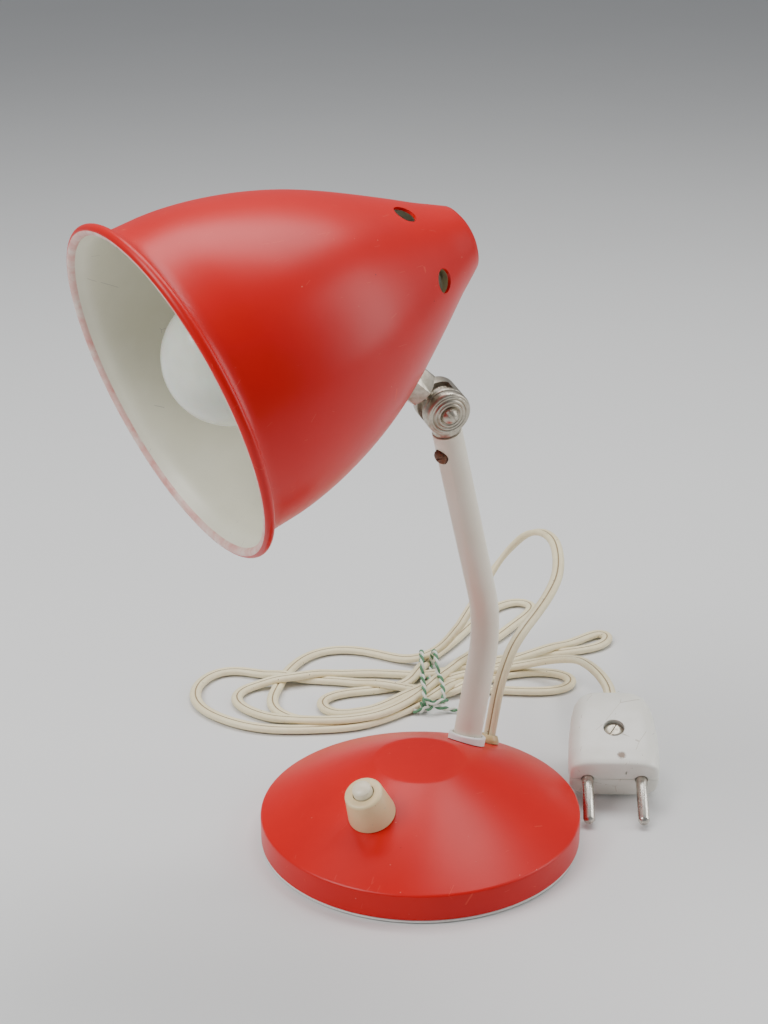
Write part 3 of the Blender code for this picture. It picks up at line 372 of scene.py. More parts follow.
def smooth_by_angle(obj, angle=34):
    mesh = obj.data
    mesh.polygons.foreach_set("use_smooth", [True] * len(mesh.polygons))
    mesh.set_sharp_from_angle(angle=radians(angle))
    mesh.update()


def piece(obj, finish, body, *nodes, slot=None, angle=34):
    """Finishes a piece: its material, the body that it rides on and the CAD nodes it stands for."""
    if finish is not None:
        obj.data.materials.clear()
        obj.data.materials.append(finish)
    smooth_by_angle(obj, angle)
    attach(obj, body)
    if nodes:
        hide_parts(*nodes)
    return obj


# ---------------------------------------------------------------- materials

class Look:
    """A material whose colour, roughness and bump are built up in layers."""

    def __init__(self, name, colour, roughness, **sockets):
        self.material = bpy.data.materials.new(name)
        self.material.use_nodes = True
        self.tree = self.material.node_tree
        self.shader = self.tree.nodes["Principled BSDF"]
        self.shader.inputs["Base Color"].default_value = (*colour, 1)
        self.shader.inputs["Roughness"].default_value = roughness
        for key, value in sockets.items():
            self.shader.inputs[key.replace("_", " ")].default_value = value
        self.colour, self.roughness, self.height = (*colour, 1), roughness, None
        self.place = self.node("ShaderNodeTexCoord").outputs["Object"]

    def node(self, kind, inputs=None, **settings):
        made = self.tree.nodes.new(kind)
        for key, value in settings.items():
            setattr(made, key, value)
        for key, value in (inputs or {}).items():
            self.feed(made.inputs[key], value)
        return made

    def feed(self, socket, value):
        if isinstance(value, bpy.types.NodeSocket):
            self.tree.links.new(value, socket)
        elif value is not None:
            socket.default_value = value

    def math(self, operation, a, b=0.0, clamp=False):
        return self.node("ShaderNodeMath", {0: a, 1: b}, operation=operation, use_clamp=clamp).outputs[0]

    def noise(self, scale, detail=4.0, stretch=None, roughness=0.55):
        place = self.place
        if stretch:
            place = self.node("ShaderNodeMapping", {"Vector": place, "Scale": stretch[0],
                                                    "Rotation": stretch[1]}).outputs[0]
        return self.node("ShaderNodeTexNoise", {"Vector": place, "Scale": scale, "Detail": detail,
                                                "Roughness": roughness}).outputs["Fac"]

    def ramp(self, value, low, high):
        return self.node("ShaderNodeMapRange", {"Value": value, "From Min": low, "From Max": high}).outputs[0]

    def tint(self, mask, colour, rough=None):
        """Lays a colour, and where given a roughness, over what is there, by the mask."""
        mix = self.node("ShaderNodeMix", data_type="RGBA")
        self.feed(mix.inputs["Factor"], mask)
        self.feed(mix.inputs["A"], self.colour)
        self.feed(mix.inputs["B"], (*colour, 1))
        self.colour = mix.outputs["Result"]
        if rough is not None:
            blend = self.node("ShaderNodeMix")
            self.feed(blend.inputs["Factor"], mask)
            self.feed(blend.inputs["A"], self.roughness)
            self.feed(blend.inputs["B"], rough)
            self.roughness = blend.outputs["Result"]
        return self

    def lift(self, height, amount):
        layer = self.math("MULTIPLY", height, amount)
        self.height = layer if self.height is None else self.math("ADD", self.height, layer)
        return self

    def mottle(self, scale, colour, amount=0.5, rough=None):
        mask = self.math("MULTIPLY", self.ramp(self.noise(scale), 0.42, 0.70), amount)
        return self.tint(mask, colour, rough)

    def specks(self, scale, size, colour, share=0.5, rough=0.6, depth=0.0):
        """Small round specks, left out where a coarse noise is low."""
        cells = self.node("ShaderNodeTexVoronoi", {"Vector": self.place, "Scale": scale, "Randomness": 1.0})
        near = self.math("LESS_THAN", cells.outputs["Distance"], size)
        some = self.math("GREATER_THAN", self.noise(scale * 0.21, 1.0), 1 - share)
        mask = self.math("MULTIPLY", near, some)
        if depth:
            self.lift(mask, -depth)
        return self.tint(mask, colour, rough)

    def scratches(self, scale, width, colour, share, turn=(0.4, 0.9, 0.3), rough=0.5, depth=0.00001):
        """Long hairlines along the edges of stretched cells, kept in scattered patches."""
        place = self.node("ShaderNodeMapping", {"Vector": self.place, "Scale": (1.0, 0.22, 0.7),
                                                "Rotation": turn}).outputs[0]
        lines = self.node("ShaderNodeTexVoronoi", {"Vector": place, "Scale": scale},
                          feature="DISTANCE_TO_EDGE").outputs["Distance"]
        thin = self.math("LESS_THAN", lines, width)
        some = self.math("GREATER_THAN", self.noise(scale * 1.6, 2.0), 1 - share)
        mask = self.math("MULTIPLY", thin, some)
        self.lift(mask, -depth)
        return self.tint(mask, colour, rough)

    def grain(self, scale, amount, detail=3.0, stretch=None):
        return self.lift(self.noise(scale, detail, stretch), amount)

    def within(self, centre, radius, edge=0.3):
        """1 inside a ball about a point in the lamp's frame, falling to 0 at its wavering edge."""
        away = self.node("ShaderNodeVectorMath", {0: self.place, 1: tuple(centre)}, operation="DISTANCE")
        wavy = self.math("MULTIPLY_ADD", self.noise(2.5 / radius, 3.0), radius * 1.1)
        wavy.node.inputs[2].default_value = -radius * 0.55
        away = self.math("ADD", away.outputs["Value"], wavy)
        return self.ramp(away, radius * (1 + edge), radius * (1 - edge))

    def done(self):
        self.feed(self.shader.inputs["Base Color"], self.colour)
        self.feed(self.shader.inputs["Roughness"], self.roughness)
        if self.height is not None:
            bump = self.node("ShaderNodeBump", {"Height": self.height, "Strength": 1.0, "Distance": 1.0})
            self.tree.links.new(bump.outputs["Normal"], self.shader.inputs["Normal"])
        return self.material


def enamel(name):
    look = Look(name, (0.60, 0.0006, 0.0003), 0.36, Coat_Weight=0.10, Coat_Roughness=0.26,
                Specular_IOR_Level=0.28)
    look.mottle(30, (0.52, 0.0005, 0.0003), 0.6, 0.41)
    look.grain(900, 0.000012, 2.0).grain(160, 0.00003, 2.0)
    look.specks(210, 0.045, (0.66, 0.14, 0.10), 0.46)
    look.specks(120, 0.028, (0.10, 0.01, 0.01), 0.46)
    look.scratches(70, 0.0038, (0.66, 0.035, 0.02), 0.36)
    look.scratches(110, 0.0050, (0.64, 0.03, 0.018), 0.36, turn=(1.2, 0.2, 1.0))
    return look


def plastic(name, colour, shade, roughness=0.38, grain=0.00001, **sockets):
    look = Look(name, colour, roughness, Coat_Weight=0.15, Coat_Roughness=0.25, **sockets)
    look.mottle(120, shade, 0.5, roughness + 0.08)
    return look.grain(1500, grain, 2.0).grain(300, grain * 1.5, 2.0)


def metal(name, colour, dull, roughness, tarnish=0.6, brushed=None):
    look = Look(name, colour, roughness, Metallic=1.0)
    look.mottle(260, dull, tarnish, roughness + 0.18)
    look.mottle(900, tuple(c * 0.5 for c in dull), tarnish * 0.5, roughness + 0.25)
    return look.grain(2600, 0.000006, 2.0, brushed)


def flex_materials():
    sheath = Look("flex_sheath", (0.86, 0.77, 0.51), 0.42, Coat_Weight=0.1, Coat_Roughness=0.3)
    sheath.mottle(55, (0.77, 0.65, 0.40), 0.55, 0.50).mottle(420, (0.66, 0.55, 0.36), 0.25)
    sheath.specks(380, 0.10, (0.30, 0.24, 0.17), 0.42).grain(1400, 0.000012)
    # The groove colour is painted shade: the crease between the two cores is darkened to stand in for the
    # shadow that falls there.
    groove_shade = Look("flex_groove_painted_shade", (0.30, 0.22, 0.11), 0.6)
    groove_shade.mottle(260, (0.24, 0.17, 0.09), 0.7).grain(1400, 0.000012)
    return sheath.done(), groove_shade.done()


RED = enamel("red_enamel").done()
worn = enamel("red_enamel_rim").specks(95, 0.12, (0.80, 0.66, 0.60), 0.42, 0.5)
RED_WORN = worn.done()
inside = Look("shade_inside", (0.74, 0.72, 0.58), 0.42, Coat_Weight=0.15, Coat_Roughness=0.35)
inside.mottle(22, (0.66, 0.64, 0.50), 0.6, 0.5).mottle(90, (0.80, 0.78, 0.66), 0.3)
inside.scratches(90, 0.005, (0.50, 0.48, 0.41), 0.36).specks(160, 0.05, (0.30, 0.27, 0.22), 0.42)
INSIDE = inside.grain(500, 0.00002).done()
lip = Look("shade_lip", (0.72, 0.42, 0.37), 0.42)
lip.mottle(140, (0.74, 0.62, 0.55), 0.9).mottle(300, (0.60, 0.12, 0.10), 0.5)
LIP = lip.grain(500, 0.00002).done()
stem_paint = Look("stem_paint", (0.86, 0.80, 0.66), 0.32, Coat_Weight=0.3, Coat_Roughness=0.2)
stem_paint.mottle(45, (0.80, 0.72, 0.56), 0.5, 0.42).grain(220, 0.00002).grain(1200, 0.000008)
stem_paint.specks(150, 0.060, (0.45, 0.36, 0.26), 0.44, depth=0.00003)
STEM_PAINT = stem_paint.done()
WHITE = plastic("white_moulding", (0.86, 0.86, 0.83), (0.80, 0.80, 0.75)).done()
AMBER = plastic("amber_moulding", (0.62, 0.47, 0.22), (0.42, 0.27, 0.09)).done()
IVORY = plastic("ivory_moulding", (0.80, 0.64, 0.36), (0.70, 0.53, 0.27), 0.34)
IVORY.specks(500, 0.07, (0.35, 0.26, 0.15), 0.42).scratches(120, 0.01, (0.60, 0.52, 0.36), 0.40)
IVORY = IVORY.done()
PALE_IVORY = plastic("pale_ivory_moulding", (0.82, 0.75, 0.56), (0.74, 0.65, 0.44), 0.34).done()
NICKEL = metal("tarnished_nickel", (0.52, 0.48, 0.40), (0.30, 0.26, 0.19), 0.34, 0.6).done()
BRIGHT = metal("pin_metal", (0.62, 0.59, 0.53), (0.42, 0.38, 0.31), 0.24, 0.5).done()
rust = Look("rusty_screw", (0.15, 0.060, 0.028), 0.60, Metallic=0.2)
rust.mottle(700, (0.30, 0.14, 0.06), 0.8, 0.7).mottle(1900, (0.05, 0.02, 0.012), 0.6)
RUST = rust.grain(1600, 0.00004).done()
felt = Look("felt", (0.80, 0.79, 0.75), 0.95)
FELT = felt.mottle(600, (0.68, 0.67, 0.62), 0.6).grain(2200, 0.00008, 5.0).done()
glass = Look("opal_glass", (0.78, 0.77, 0.68), 0.20, Subsurface_Weight=0.25, Subsurface_Scale=0.004,
             Coat_Weight=0.4, Coat_Roughness=0.10)
glass.mottle(50, (0.72, 0.71, 0.62), 0.6, 0.30).mottle(220, (0.68, 0.66, 0.57), 0.35)
OPAL = glass.scratches(70, 0.006, (0.62, 0.62, 0.57), 0.46).grain(260, 0.00001).done()
SHEATH, GROOVE_SHADE = flex_materials()
BLACK = plastic("black_bakelite", (0.018, 0.017, 0.016), (0.03, 0.028, 0.026), 0.33).done()
BROWN = plastic("brown_bakelite", (0.10, 0.042, 0.024), (0.07, 0.03, 0.018), 0.36).done()
ZINC = metal("zinc_plate", (0.55, 0.56, 0.56), (0.38, 0.38, 0.37), 0.38).done()
STEEL = metal("spring_steel", (0.62, 0.62, 0.61), (0.45, 0.44, 0.42), 0.30, 0.4).done()
BRASS = metal("dull_brass", (0.66, 0.46, 0.17), (0.38, 0.25, 0.09), 0.35).done()
IRON = metal("cast_iron", (0.11, 0.11, 0.11), (0.06, 0.05, 0.045), 0.62).grain(700, 0.0001).done()
fibre = Look("dark_fibre", (0.09, 0.06, 0.045), 0.8)
FIBRE = fibre.mottle(700, (0.14, 0.10, 0.07), 0.7).grain(1800, 0.00004).done()

twine_green = Look("twine_green", (0.07, 0.20, 0.10), 0.8)
TWINE_GREEN = twine_green.mottle(900, (0.18, 0.34, 0.20), 0.6).grain(3000, 0.00005).done()
twine_white = Look("twine_white", (0.72, 0.74, 0.66), 0.8)
TWINE_WHITE = twine_white.mottle(900, (0.50, 0.54, 0.44), 0.6).grain(3000, 0.00005).done()

stain_at = PLUG @ Vector((0.0022, 0.0042, 0.0086))
cover = plastic("plug_moulding", (0.88, 0.87, 0.79), (0.80, 0.78, 0.68), 0.33)
cover.specks(420, 0.06, (0.30, 0.24, 0.16), 0.42).scratches(90, 0.006, (0.62, 0.58, 0.48), 0.42)
cover.tint(cover.math("MULTIPLY", cover.within(stain_at, 0.0014), 0.85), (0.20, 0.10, 0.04), 0.55)
PLUG_WHITE = cover.done()

SLOT_LOOKS = {
    "red_enamel": RED, "white_enamel": STEM_PAINT, "white_plastic": WHITE, "ivory_plastic": IVORY,
    "pale_ivory_plastic": PALE_IVORY, "off_white_plastic": PLUG_WHITE, "amber_plastic": AMBER,
    "brown_bakelite": BROWN, "black_bakelite": BLACK, "pale_felt": FELT, "cream_flex": SHEATH,
    "dark_fibre": FIBRE, "opal_glass": OPAL, "cast_iron": IRON, "zinc_plate": ZINC, "steel": STEEL,
    "nickel_plate": NICKEL, "rusty_steel": RUST, "brass": BRASS,
    "green_twine": TWINE_GREEN,
}


# ---------------------------------------------------------------- base, switch and outlet

def cone_clearance():
    foot = cone_height(0.060)
    return lathe("cutter", [(0, cone_height(0) + GAP), (0.060, foot + GAP), (0.060, foot - 0.02),
                            (0, foot - 0.02)], LAMP, 160)


def build_base():
    outside = soften([(0, DISC_HEIGHT), (DISC_RADIUS - 0.0012, DISC_HEIGHT),
                      (DISC_RADIUS - 0.0003, DISC_HEIGHT - 0.0001),
                      (DISC_RADIUS + 0.0006, cone_height(DISC_RADIUS + 0.0006)),
                      CONE_FOOT, (BASE_RADIUS - 0.0001, CONE_FOOT[1] - 0.0004),
                      (BASE_RADIUS, CONE_FOOT[1] - 0.0010), (BASE_RADIUS, SHELL_BOTTOM)], 0.0009, 4)
    wall = offset_outline(outside[1:], SHELL_WALL)
    wall[-1] = (BASE_RADIUS - SHELL_WALL, SHELL_BOTTOM)
    cover = lathe("base_cover", outside + wall[::-1] + [(0, DISC_HEIGHT - SHELL_WALL)], LAMP, 192)
    combine(cover, [rod(0.0052, -0.006, 0.006, SWITCH), rod(0.0036, -0.006, 0.006, GROMMET),
                    rod(STEM_RADIUS + GAP, -0.006, 0.006, STEM_FOOT)])
    piece(cover, RED, "base", "base_shell", slot="red_enamel")
    pad = lathe("felt_pad", [(0, PAD_THICKNESS), (BASE_RADIUS - 0.0002, PAD_THICKNESS),
                             (BASE_RADIUS - 0.0002, 0.0), (0, 0.0)], LAMP, 192, corner=0.0003)
    piece(pad, FELT, "base", "base_pad", slot="pale_felt")


def build_switch():
    height, top = SWITCH_HEIGHT, SWITCH_TOP_RADIUS
    housing = lathe("switch_dome",
                    soften([(0.0036, height), (top - 0.0002, height), (SWITCH_RADIUS, 0.0006)], 0.0009, 5)
                    + [(SWITCH_RADIUS, -0.0020), (0.0055, -0.0020), (0.0055, 0.0086), (0.0036, 0.0086)],
                    SWITCH, 96)
    combine(housing, [cone_clearance()])
    piece(housing, IVORY, "base", "switch_housing", slot="ivory_plastic")
    crown = [(0, BUTTON_TOP), (BUTTON_RADIUS * 0.45, BUTTON_TOP - 0.00006),
             (BUTTON_RADIUS - 0.0008, BUTTON_TOP - 0.0003), (BUTTON_RADIUS - 0.0002, BUTTON_TOP - 0.0008),
             (BUTTON_RADIUS, BUTTON_TOP - 0.0015)]
    button = lathe("push_button", crown + [(BUTTON_RADIUS, 0.0083), (0.0050, 0.0083), (0.0050, 0.0068),
                                           (0.0026, 0.0068), (0.0026, 0.0105), (0, 0.0105)], SWITCH, 64)
    piece(button, PALE_IVORY, "button", "switch_button", slot="pale_ivory_plastic")
    bush = lathe("outlet_bush", soften([(0.0027, 0.0030), (0.0031, 0.0030), (0.0039, 0.0014),
                                        (0.0040, -0.0010), (0.0033, -0.0010), (0.0033, -0.0018),
                                        (0.0044, -0.0018), (0.0044, -0.0028), (0.0027, -0.0028)],
                                       0.0003, 2, closed=True), GROMMET, 64)
    piece(combine(bush, [cone_clearance()]), AMBER, "base", "cord_grommet", slot="amber_plastic")


# ---------------------------------------------------------------- stem and knuckle

def stem_line(steps=28):
    lower = Vector((0, sin(LOWER_LEAN), cos(LOWER_LEAN)))
    upper = Vector((0, -sin(UPPER_LEAN), cos(UPPER_LEAN)))
    bend = LOWER_LEAN + UPPER_LEAN
    start = STEM_BEND_AT - lower * STEM_BEND_RADIUS * tan(bend / 2)
    inward = Vector((0, -cos(LOWER_LEAN), sin(LOWER_LEAN)))
    centre = start + inward * STEM_BEND_RADIUS
    curve = [centre - STEM_BEND_RADIUS * (Matrix.Rotation(bend * i / steps, 3, "X") @ inward)
             for i in range(steps + 1)]
    return ([stem_foot_at() - lower * STEM_FOOT_INSIDE] + curve
            + [KNUCKLE_AT - upper * STEM_TOP_BELOW_KNUCKLE])


def build_stem():
    tube = sweep("stem_pipe", [tuple(p) for p in stem_line()], circle(STEM_RADIUS, 64), level=False,
                 inner=circle(STEM_RADIUS - STEM_WALL, 64))
    grub = STEM_TOP @ shift((0, 0, -GRUB_SCREW_DROP)) @ about("Z", GRUB_SCREW_SIDE) @ about("X", pi / 2)
    combine(tube, [rod(0.0028, 0.0015, 0.008, grub)])
    bevel(tube, 0.0002, 2, 60)
    piece(tube, STEM_PAINT, "base", "stem_tube", slot="white_enamel")
    screw = lathe("set_screw", [(0, 0.0063), (0.0008, 0.00627), (0.0016, 0.0061), (0.0022, 0.0057),
                                (0.0025, 0.0053), (0.0025, 0.0030), (0, 0.0030)], grub, 48)
    combine(screw, [block((-0.003, -0.00035, 0.0057), (0.003, 0.00035, 0.008), grub @ about("Z", 0.5))])
    piece(screw, RUST, "base", "stem_grub_screw", slot="rusty_steel")
    collar = lathe("foot_collar", [(STEM_RADIUS + GAP, 0.0030), (0.0062, 0.0030), (0.0066, 0.0026),
                                   (0.0066, -0.0015), (STEM_RADIUS + GAP, -0.0015)], STEM_FOOT, 96,
                   corner=0.0004)
    piece(combine(collar, [cone_clearance()]), WHITE, "base", "stem_collar", slot="white_plastic")


def window_cutter():
    """A wedge out of the drum's wall, through which the neck swings."""
    steps, start, end = 24, WINDOW_FROM, WINDOW_TO
    outline = [(0, 0)] + [(0.012 * cos(start + (end - start) * i / steps),
                           0.012 * sin(start + (end - start) * i / steps)) for i in range(steps + 1)]
    count = len(outline)
    points = [(x, -b, a) for x in (-WINDOW_HALF_WIDTH, WINDOW_HALF_WIDTH) for a, b in outline]
    faces = [tuple(range(count)), tuple(range(2 * count - 1, count - 1, -1))]
    faces += [((i + 1) % count, i, i + count, (i + 1) % count + count) for i in range(count)]
    return face_outward(new_object("cutter", points, faces, SWIVEL))


def build_knuckle():
    back, front, inner = DRUM_BACK, DRUM_FRONT, DRUM_RADIUS - DRUM_WALL
    axle = SWIVEL @ ALONG_X
    drum = lathe("knuckle_drum",
                 [(inner, front), (DRUM_RADIUS, front), (DRUM_RADIUS, back + 0.0008),
                  (DRUM_RADIUS - 0.0008, back), (HINGE_BORE_RADIUS, back),
                  (HINGE_BORE_RADIUS, back + DRUM_WALL), (inner, back + DRUM_WALL)],
                 axle, 96, corner=0.0003)
    foot = lathe("cutter",
                 [(0, -0.0060), (0.0048, -0.0060), (0.0048, -0.0094), (0.0045, -0.0099),
                  (0.0034, -0.0099), (0.0034, -0.0148), (0.0025, -0.0152), (0.0025, -0.0208),
                  (0.0034, -0.0212), (0.0034, -0.0235), (0.0029, -0.0240), (0, -0.0240)], SWIVEL, 64)
    combine(drum, [foot], "UNION")
    combine(drum, [rod(DRUM_RADIUS + GAP, front, front + 0.012, axle),
                   rod(inner, back + DRUM_WALL, front + 0.004, axle, 96), window_cutter()])
    bevel(drum, 0.00018, 2, 50)
    piece(drum, NICKEL, "knuckle", "knuckle_body", slot="nickel_plate")

    dome = [(HINGE_BORE_RADIUS, CAP_FRONT - 0.0007)]
    for middle, top in ((0.00375, 0.0), (0.00490, 0.00015), (0.00610, 0.0005)):
        crest = CAP_FRONT - 0.0001 - top
        dome += [(middle - 0.00050, CAP_FRONT - 0.00035 - top), (middle - 0.00024, crest),
                 (middle + 0.00024, crest), (middle + 0.00050, CAP_FRONT - 0.0004 - top)]
    dome += [(DRUM_RADIUS - 0.0006, CAP_FRONT - 0.0008), (DRUM_RADIUS - 0.00015, CAP_FRONT - 0.0013),
             (DRUM_RADIUS, CAP_FRONT - 0.0020), (DRUM_RADIUS, front + GAP), (HINGE_BORE_RADIUS, front + GAP)]
    piece(lathe("knuckle_disc", soften(dome, 0.00012, 2, closed=True), axle, 128), NICKEL, "knuckle",
          "knuckle_cap", slot="nickel_plate", angle=50)

    head = CAP_FRONT - 0.0005
    screw = lathe("pivot_screw",
                  [(0, head + 0.0026), (0.0009, head + 0.0025), (0.0018, head + 0.0020),
                   (0.0025, head + 0.0012), (0.0029, head + 0.0003), (0.0029, head),
                   (HINGE_SCREW_RADIUS, head), (HINGE_SCREW_RADIUS, -0.0102), (0, -0.0102)], axle, 64)
    combine(screw, [block((head + 0.0009, -0.0005, -0.004), (head + 0.004, 0.0005, 0.004),
                          SWIVEL @ about("X", 0.35))])
    bevel(screw, 0.00010, 2, 50)
    piece(screw, NICKEL, "knuckle", "hinge_screw", slot="nickel_plate")
    piece(hexagon("pivot_nut", PIVOT_NUT_ACROSS, HINGE_BORE_RADIUS, -0.0095, back - GAP, axle),
          NICKEL, "knuckle", "hinge_nut", slot="nickel_plate")


def build_neck():
    tilt_axle, inside = TILT @ ALONG_X, NECK_TO_SHADE + 0.0085
    eye = lathe("neck_eye", [(HINGE_BORE_RADIUS, EYE_HALF_WIDTH), (EYE_RADIUS, EYE_HALF_WIDTH),
                             (EYE_RADIUS, -EYE_HALF_WIDTH), (HINGE_BORE_RADIUS, -EYE_HALF_WIDTH)],
                tilt_axle, 64, corner=0.0003)
    bar = lathe("cutter", [(0, inside), (NECK_THREAD_RADIUS - 0.0004, inside),
                           (NECK_THREAD_RADIUS, inside - 0.0004), (NECK_THREAD_RADIUS, 0.0098),
                           (NECK_RADIUS, 0.0090), (0.0016, 0.0083), (0.0016, 0.0030), (0, 0.0030)],
                TILT, 64)
    combine(eye, [bar], "UNION")
    piece(bevel(eye, 0.00015, 2, 50), NICKEL, "shade", "shade_neck", slot="nickel_plate")
    piece(hexagon("neck_nut", NECK_NUT_ACROSS, NECK_THREAD_RADIUS + GAP, NECK_TO_SHADE - 0.0112,
                  NECK_TO_SHADE - GAP, NECK), NICKEL, "shade", "shade_nut_outer", slot="nickel_plate")


# ---------------------------------------------------------------- shade and bulb

def round_profile(outline):
    """More points on the same smooth profile."""
    return [tuple(p[:2]) for p in even_route([(r, z, 0) for r, z in outline], 0.0022)]


def build_shade():
    centre = (RIM_OUTER_RADIUS - RIM_BEAD_RADIUS, RIM_BEAD_AT)
    flank = round_profile([(0.0502, 0.1045)] + [(radius, along) for along, radius in SHADE_OUTLINE])
    outside = ([(0.0510, 0.1066)] + flank
               + soften([(0.0113, 0.0020), (REAR_CAP_RADIUS, 0.0008), (REAR_CAP_RADIUS - 0.002, 0)],
                        0.0006)[1:])
    inner = offset_outline(outside[:-1], SHADE_WALL)
    bead = arc(centre, RIM_BEAD_RADIUS, 175, -130, 22)
    outline = [(0, SHADE_WALL)] + inner[::-1] + bead + outside + [(0, 0)]
    segments = 192
    shell = lathe("shade_spinning", outline, SHADE, segments)
    for finish in (RED, INSIDE, LIP, RED_WORN):
        shell.data.materials.append(finish)
    spans = len(outline) - 1
    indices = []
    for span in range(spans):
        if span < len(inner) + 1:
            kind = 1
        elif span < len(inner) + 8:
            kind = 2
        elif span < len(inner) + 24:
            kind = 3
        else:
            kind = 0
        indices += [kind] * segments
    shell.data.polygons.foreach_set("material_index", indices)
    lean = atan2(0.0060, 0.0100)
    cutters = [rod(NECK_THREAD_RADIUS + GAP, NECK_TO_SHADE - 0.006, NECK_TO_SHADE + 0.006, NECK)]
    for number in range(VENT_COUNT):
        spin = about("Z", VENT_TURN + 2 * pi * number / VENT_COUNT)
        out = shift((0, -VENT_AT[1], VENT_AT[0])) @ about("X", pi / 2 + lean)
        cutters.append(rod(VENT_RADIUS, -0.005, 0.005, SHADE @ spin @ out, 48))
    combine(shell, cutters)
    piece(shell, None, "shade", "shade_shell", slot="red_enamel", angle=38)

    globe = (0, BULB_CENTRE)
    outer = arc(globe, BULB_RADIUS, 90, -38, 40) + round_profile(
        [(0.0150, 0.0722), (0.0122, 0.0680), (0.0090, 0.0600), (0.0074, 0.0550), (0.0068, 0.0513)])
    wall = offset_outline(outer, GLASS_WALL)
    wall[0] = (0, BULB_CENTRE + BULB_RADIUS - GLASS_WALL)
    outer[0] = (0, BULB_CENTRE + BULB_RADIUS)
    piece(lathe("frosted_bulb", outer + wall[::-1], HOLDER, 128), OPAL, "shade", "bulb_globe",
          slot="opal_glass")


# ---------------------------------------------------------------- flex

def settle(points, held, rounds=260):
    """Sinks the flex's loose runs onto the table and onto each other, easing in from the held ends."""
    start = points.copy()
    free = (~held).astype(float)[:, None]
    count = len(points)
    wide, high, floor_z = 0.0049, 0.00275, FLEX_CORE + 0.00015
    sink, near_rows, ramp_rows, most_push = 0.00006, 9, 15, 0.0008
    index = np.arange(count)
    apart = np.abs(index[:, None] - index[None, :]) > near_rows
    loose = np.nonzero(~held)[0]
    share = np.clip((np.minimum(index - loose[0], loose[-1] - index) + 1) / ramp_rows, 0, 1)
    lowest = start[:, 2] + (floor_z - start[:, 2]) * share**2 * (3 - 2 * share)
    for _ in range(rounds):
        moved = points.copy()
        moved[:, 2] -= sink
        middle = points.copy()
        middle[1:-1] = (points[:-2] + points[2:]) / 2
        wider = points.copy()
        wider[4:-4] = (points[:-8] + points[8:]) / 2
        moved += (middle - points) * 0.22 + (wider - points) * 0.035
        wanted = start[:, :2].copy()
        wanted[:, 1] += (start[:, 2] - points[:, 2]) * 2.3
        moved[:, :2] += (wanted - moved[:, :2]) * 0.05
        points = points + (moved - points) * free
        gap = points[:, None, :] - points[None, :, :]
        size = np.sqrt((gap[..., 0]**2 + gap[..., 1]**2) / wide**2 + gap[..., 2]**2 / high**2)
        near = apart & (size < 1)
        i, j = np.nonzero(near)
        if len(i):
            away = gap[i, j].copy()
            flat = np.abs(away[:, 2]) < 0.0002
            away[flat, 2] = np.where(start[i[flat], 2] + i[flat] * 1e-7 > start[j[flat], 2] + j[flat] * 1e-7,
                                     0.0002, -0.0002)
            away /= np.array((wide, wide, high * 0.8))**2
            away /= np.linalg.norm(away, axis=1)[:, None]
            push = np.zeros_like(points)
            np.add.at(push, i, away * ((1 - size[i, j]) * 0.0009)[:, None])
            points = points + np.clip(push, -most_push, most_push) * free
        points[:, 2] = np.where(held, points[:, 2], np.maximum(points[:, 2], lowest))
    for _ in range(3):
        middle = points.copy()
        middle[1:-1] = points[1:-1] * 0.5 + (points[:-2] + points[2:]) * 0.25
        points = points + (middle - points) * free
    return points


def flex_points():
    hank = [(x / 1000, y / 1000, z / 1000) for x, y, z in HANK_ROUTE]
    route = even_route([*ARCH_ROUTE, *hank, *PLUG_ROUTE], FLEX_STEP)
    arch_end = int(np.argmin(np.linalg.norm(route[:200] - ARCH_ROUTE[-1], axis=1)))
    plug_start = len(route) - 60 + int(np.argmin(np.linalg.norm(route[-60:] - PLUG_ROUTE[2], axis=1)))
    held = np.ones(len(route), bool)
    held[arch_end - 4:plug_start] = False
    return settle(route, held)


def twin_section(count=7):
    """Two round cores side by side, joined by a web: (sideways, up) points, widest 4.6 mm."""
    spread, core = FLEX_SPREAD, FLEX_CORE
    reach = 180 - np.degrees(np.arccos(spread / core)) - 19
    right = [(spread + core * cos(radians(a)), core * sin(radians(a)))
             for a in np.linspace(-reach, reach, 2 * count + 1)]
    return right + [(-x, -y) for x, y in right]


def build_flex():
    points = flex_points()
    section = twin_section()
    flex = sweep("twin_flex", points, section, TABLE)
    flex.data.materials.append(SHEATH)
    flex.data.materials.append(GROOVE_SHADE)
    count, half = len(section), len(section) // 2
    # Faces along the web between the two cores take the groove's painted shade.
    kinds = []
    for face in flex.data.polygons:
        corners = [v % count for v in face.vertices]
        spans = {(min(a, b), max(a, b)) for a, b in zip(corners, corners[1:] + corners[:1]) if a != b}
        kinds.append(1 if len(corners) == 4 and spans & {(half - 1, half), (0, count - 1)} else 0)
    flex.data.polygons.foreach_set("material_index", kinds)
    piece(flex, None, "base", "cord_rise", "cord_plug_run", "cord_hank", slot="cream_flex", angle=60)
    return flex, points


def hull(points):
    """Convex hull of (y, z) points, anticlockwise."""
    points = sorted(set(map(tuple, points)))

    def half(line):
        kept = []
        for p in line:
            while len(kept) > 1 and ((kept[-1][0] - kept[-2][0]) * (p[1] - kept[-2][1])
                                     - (kept[-1][1] - kept[-2][1]) * (p[0] - kept[-2][0])) <= 0:
                kept.pop()
            kept.append(p)
        return kept[:-1]
    return half(points) + half(points[::-1])


def twine(name, points):
    """Two plies, one green and one white, twisted round each other along a line."""
    line = even_route(points, TWINE_STEP)
    _, sides, ups = line_frames(line, level=False)
    plies = []
    for ply, finish in enumerate((TWINE_GREEN, TWINE_WHITE)):
        turn = np.arange(len(line)) * TWINE_STEP / TWINE_LAY * 2 * pi + ply * pi
        strand = line + (sides * np.cos(turn)[:, None] + ups * np.sin(turn)[:, None]) * TWINE_RADIUS * 0.52
        made = sweep(f"{name}_{'green' if ply == 0 else 'white'}", strand, circle(TWINE_RADIUS * 0.62, 8),
                     TABLE, level=False)
        plies.append((made, finish))
    return plies


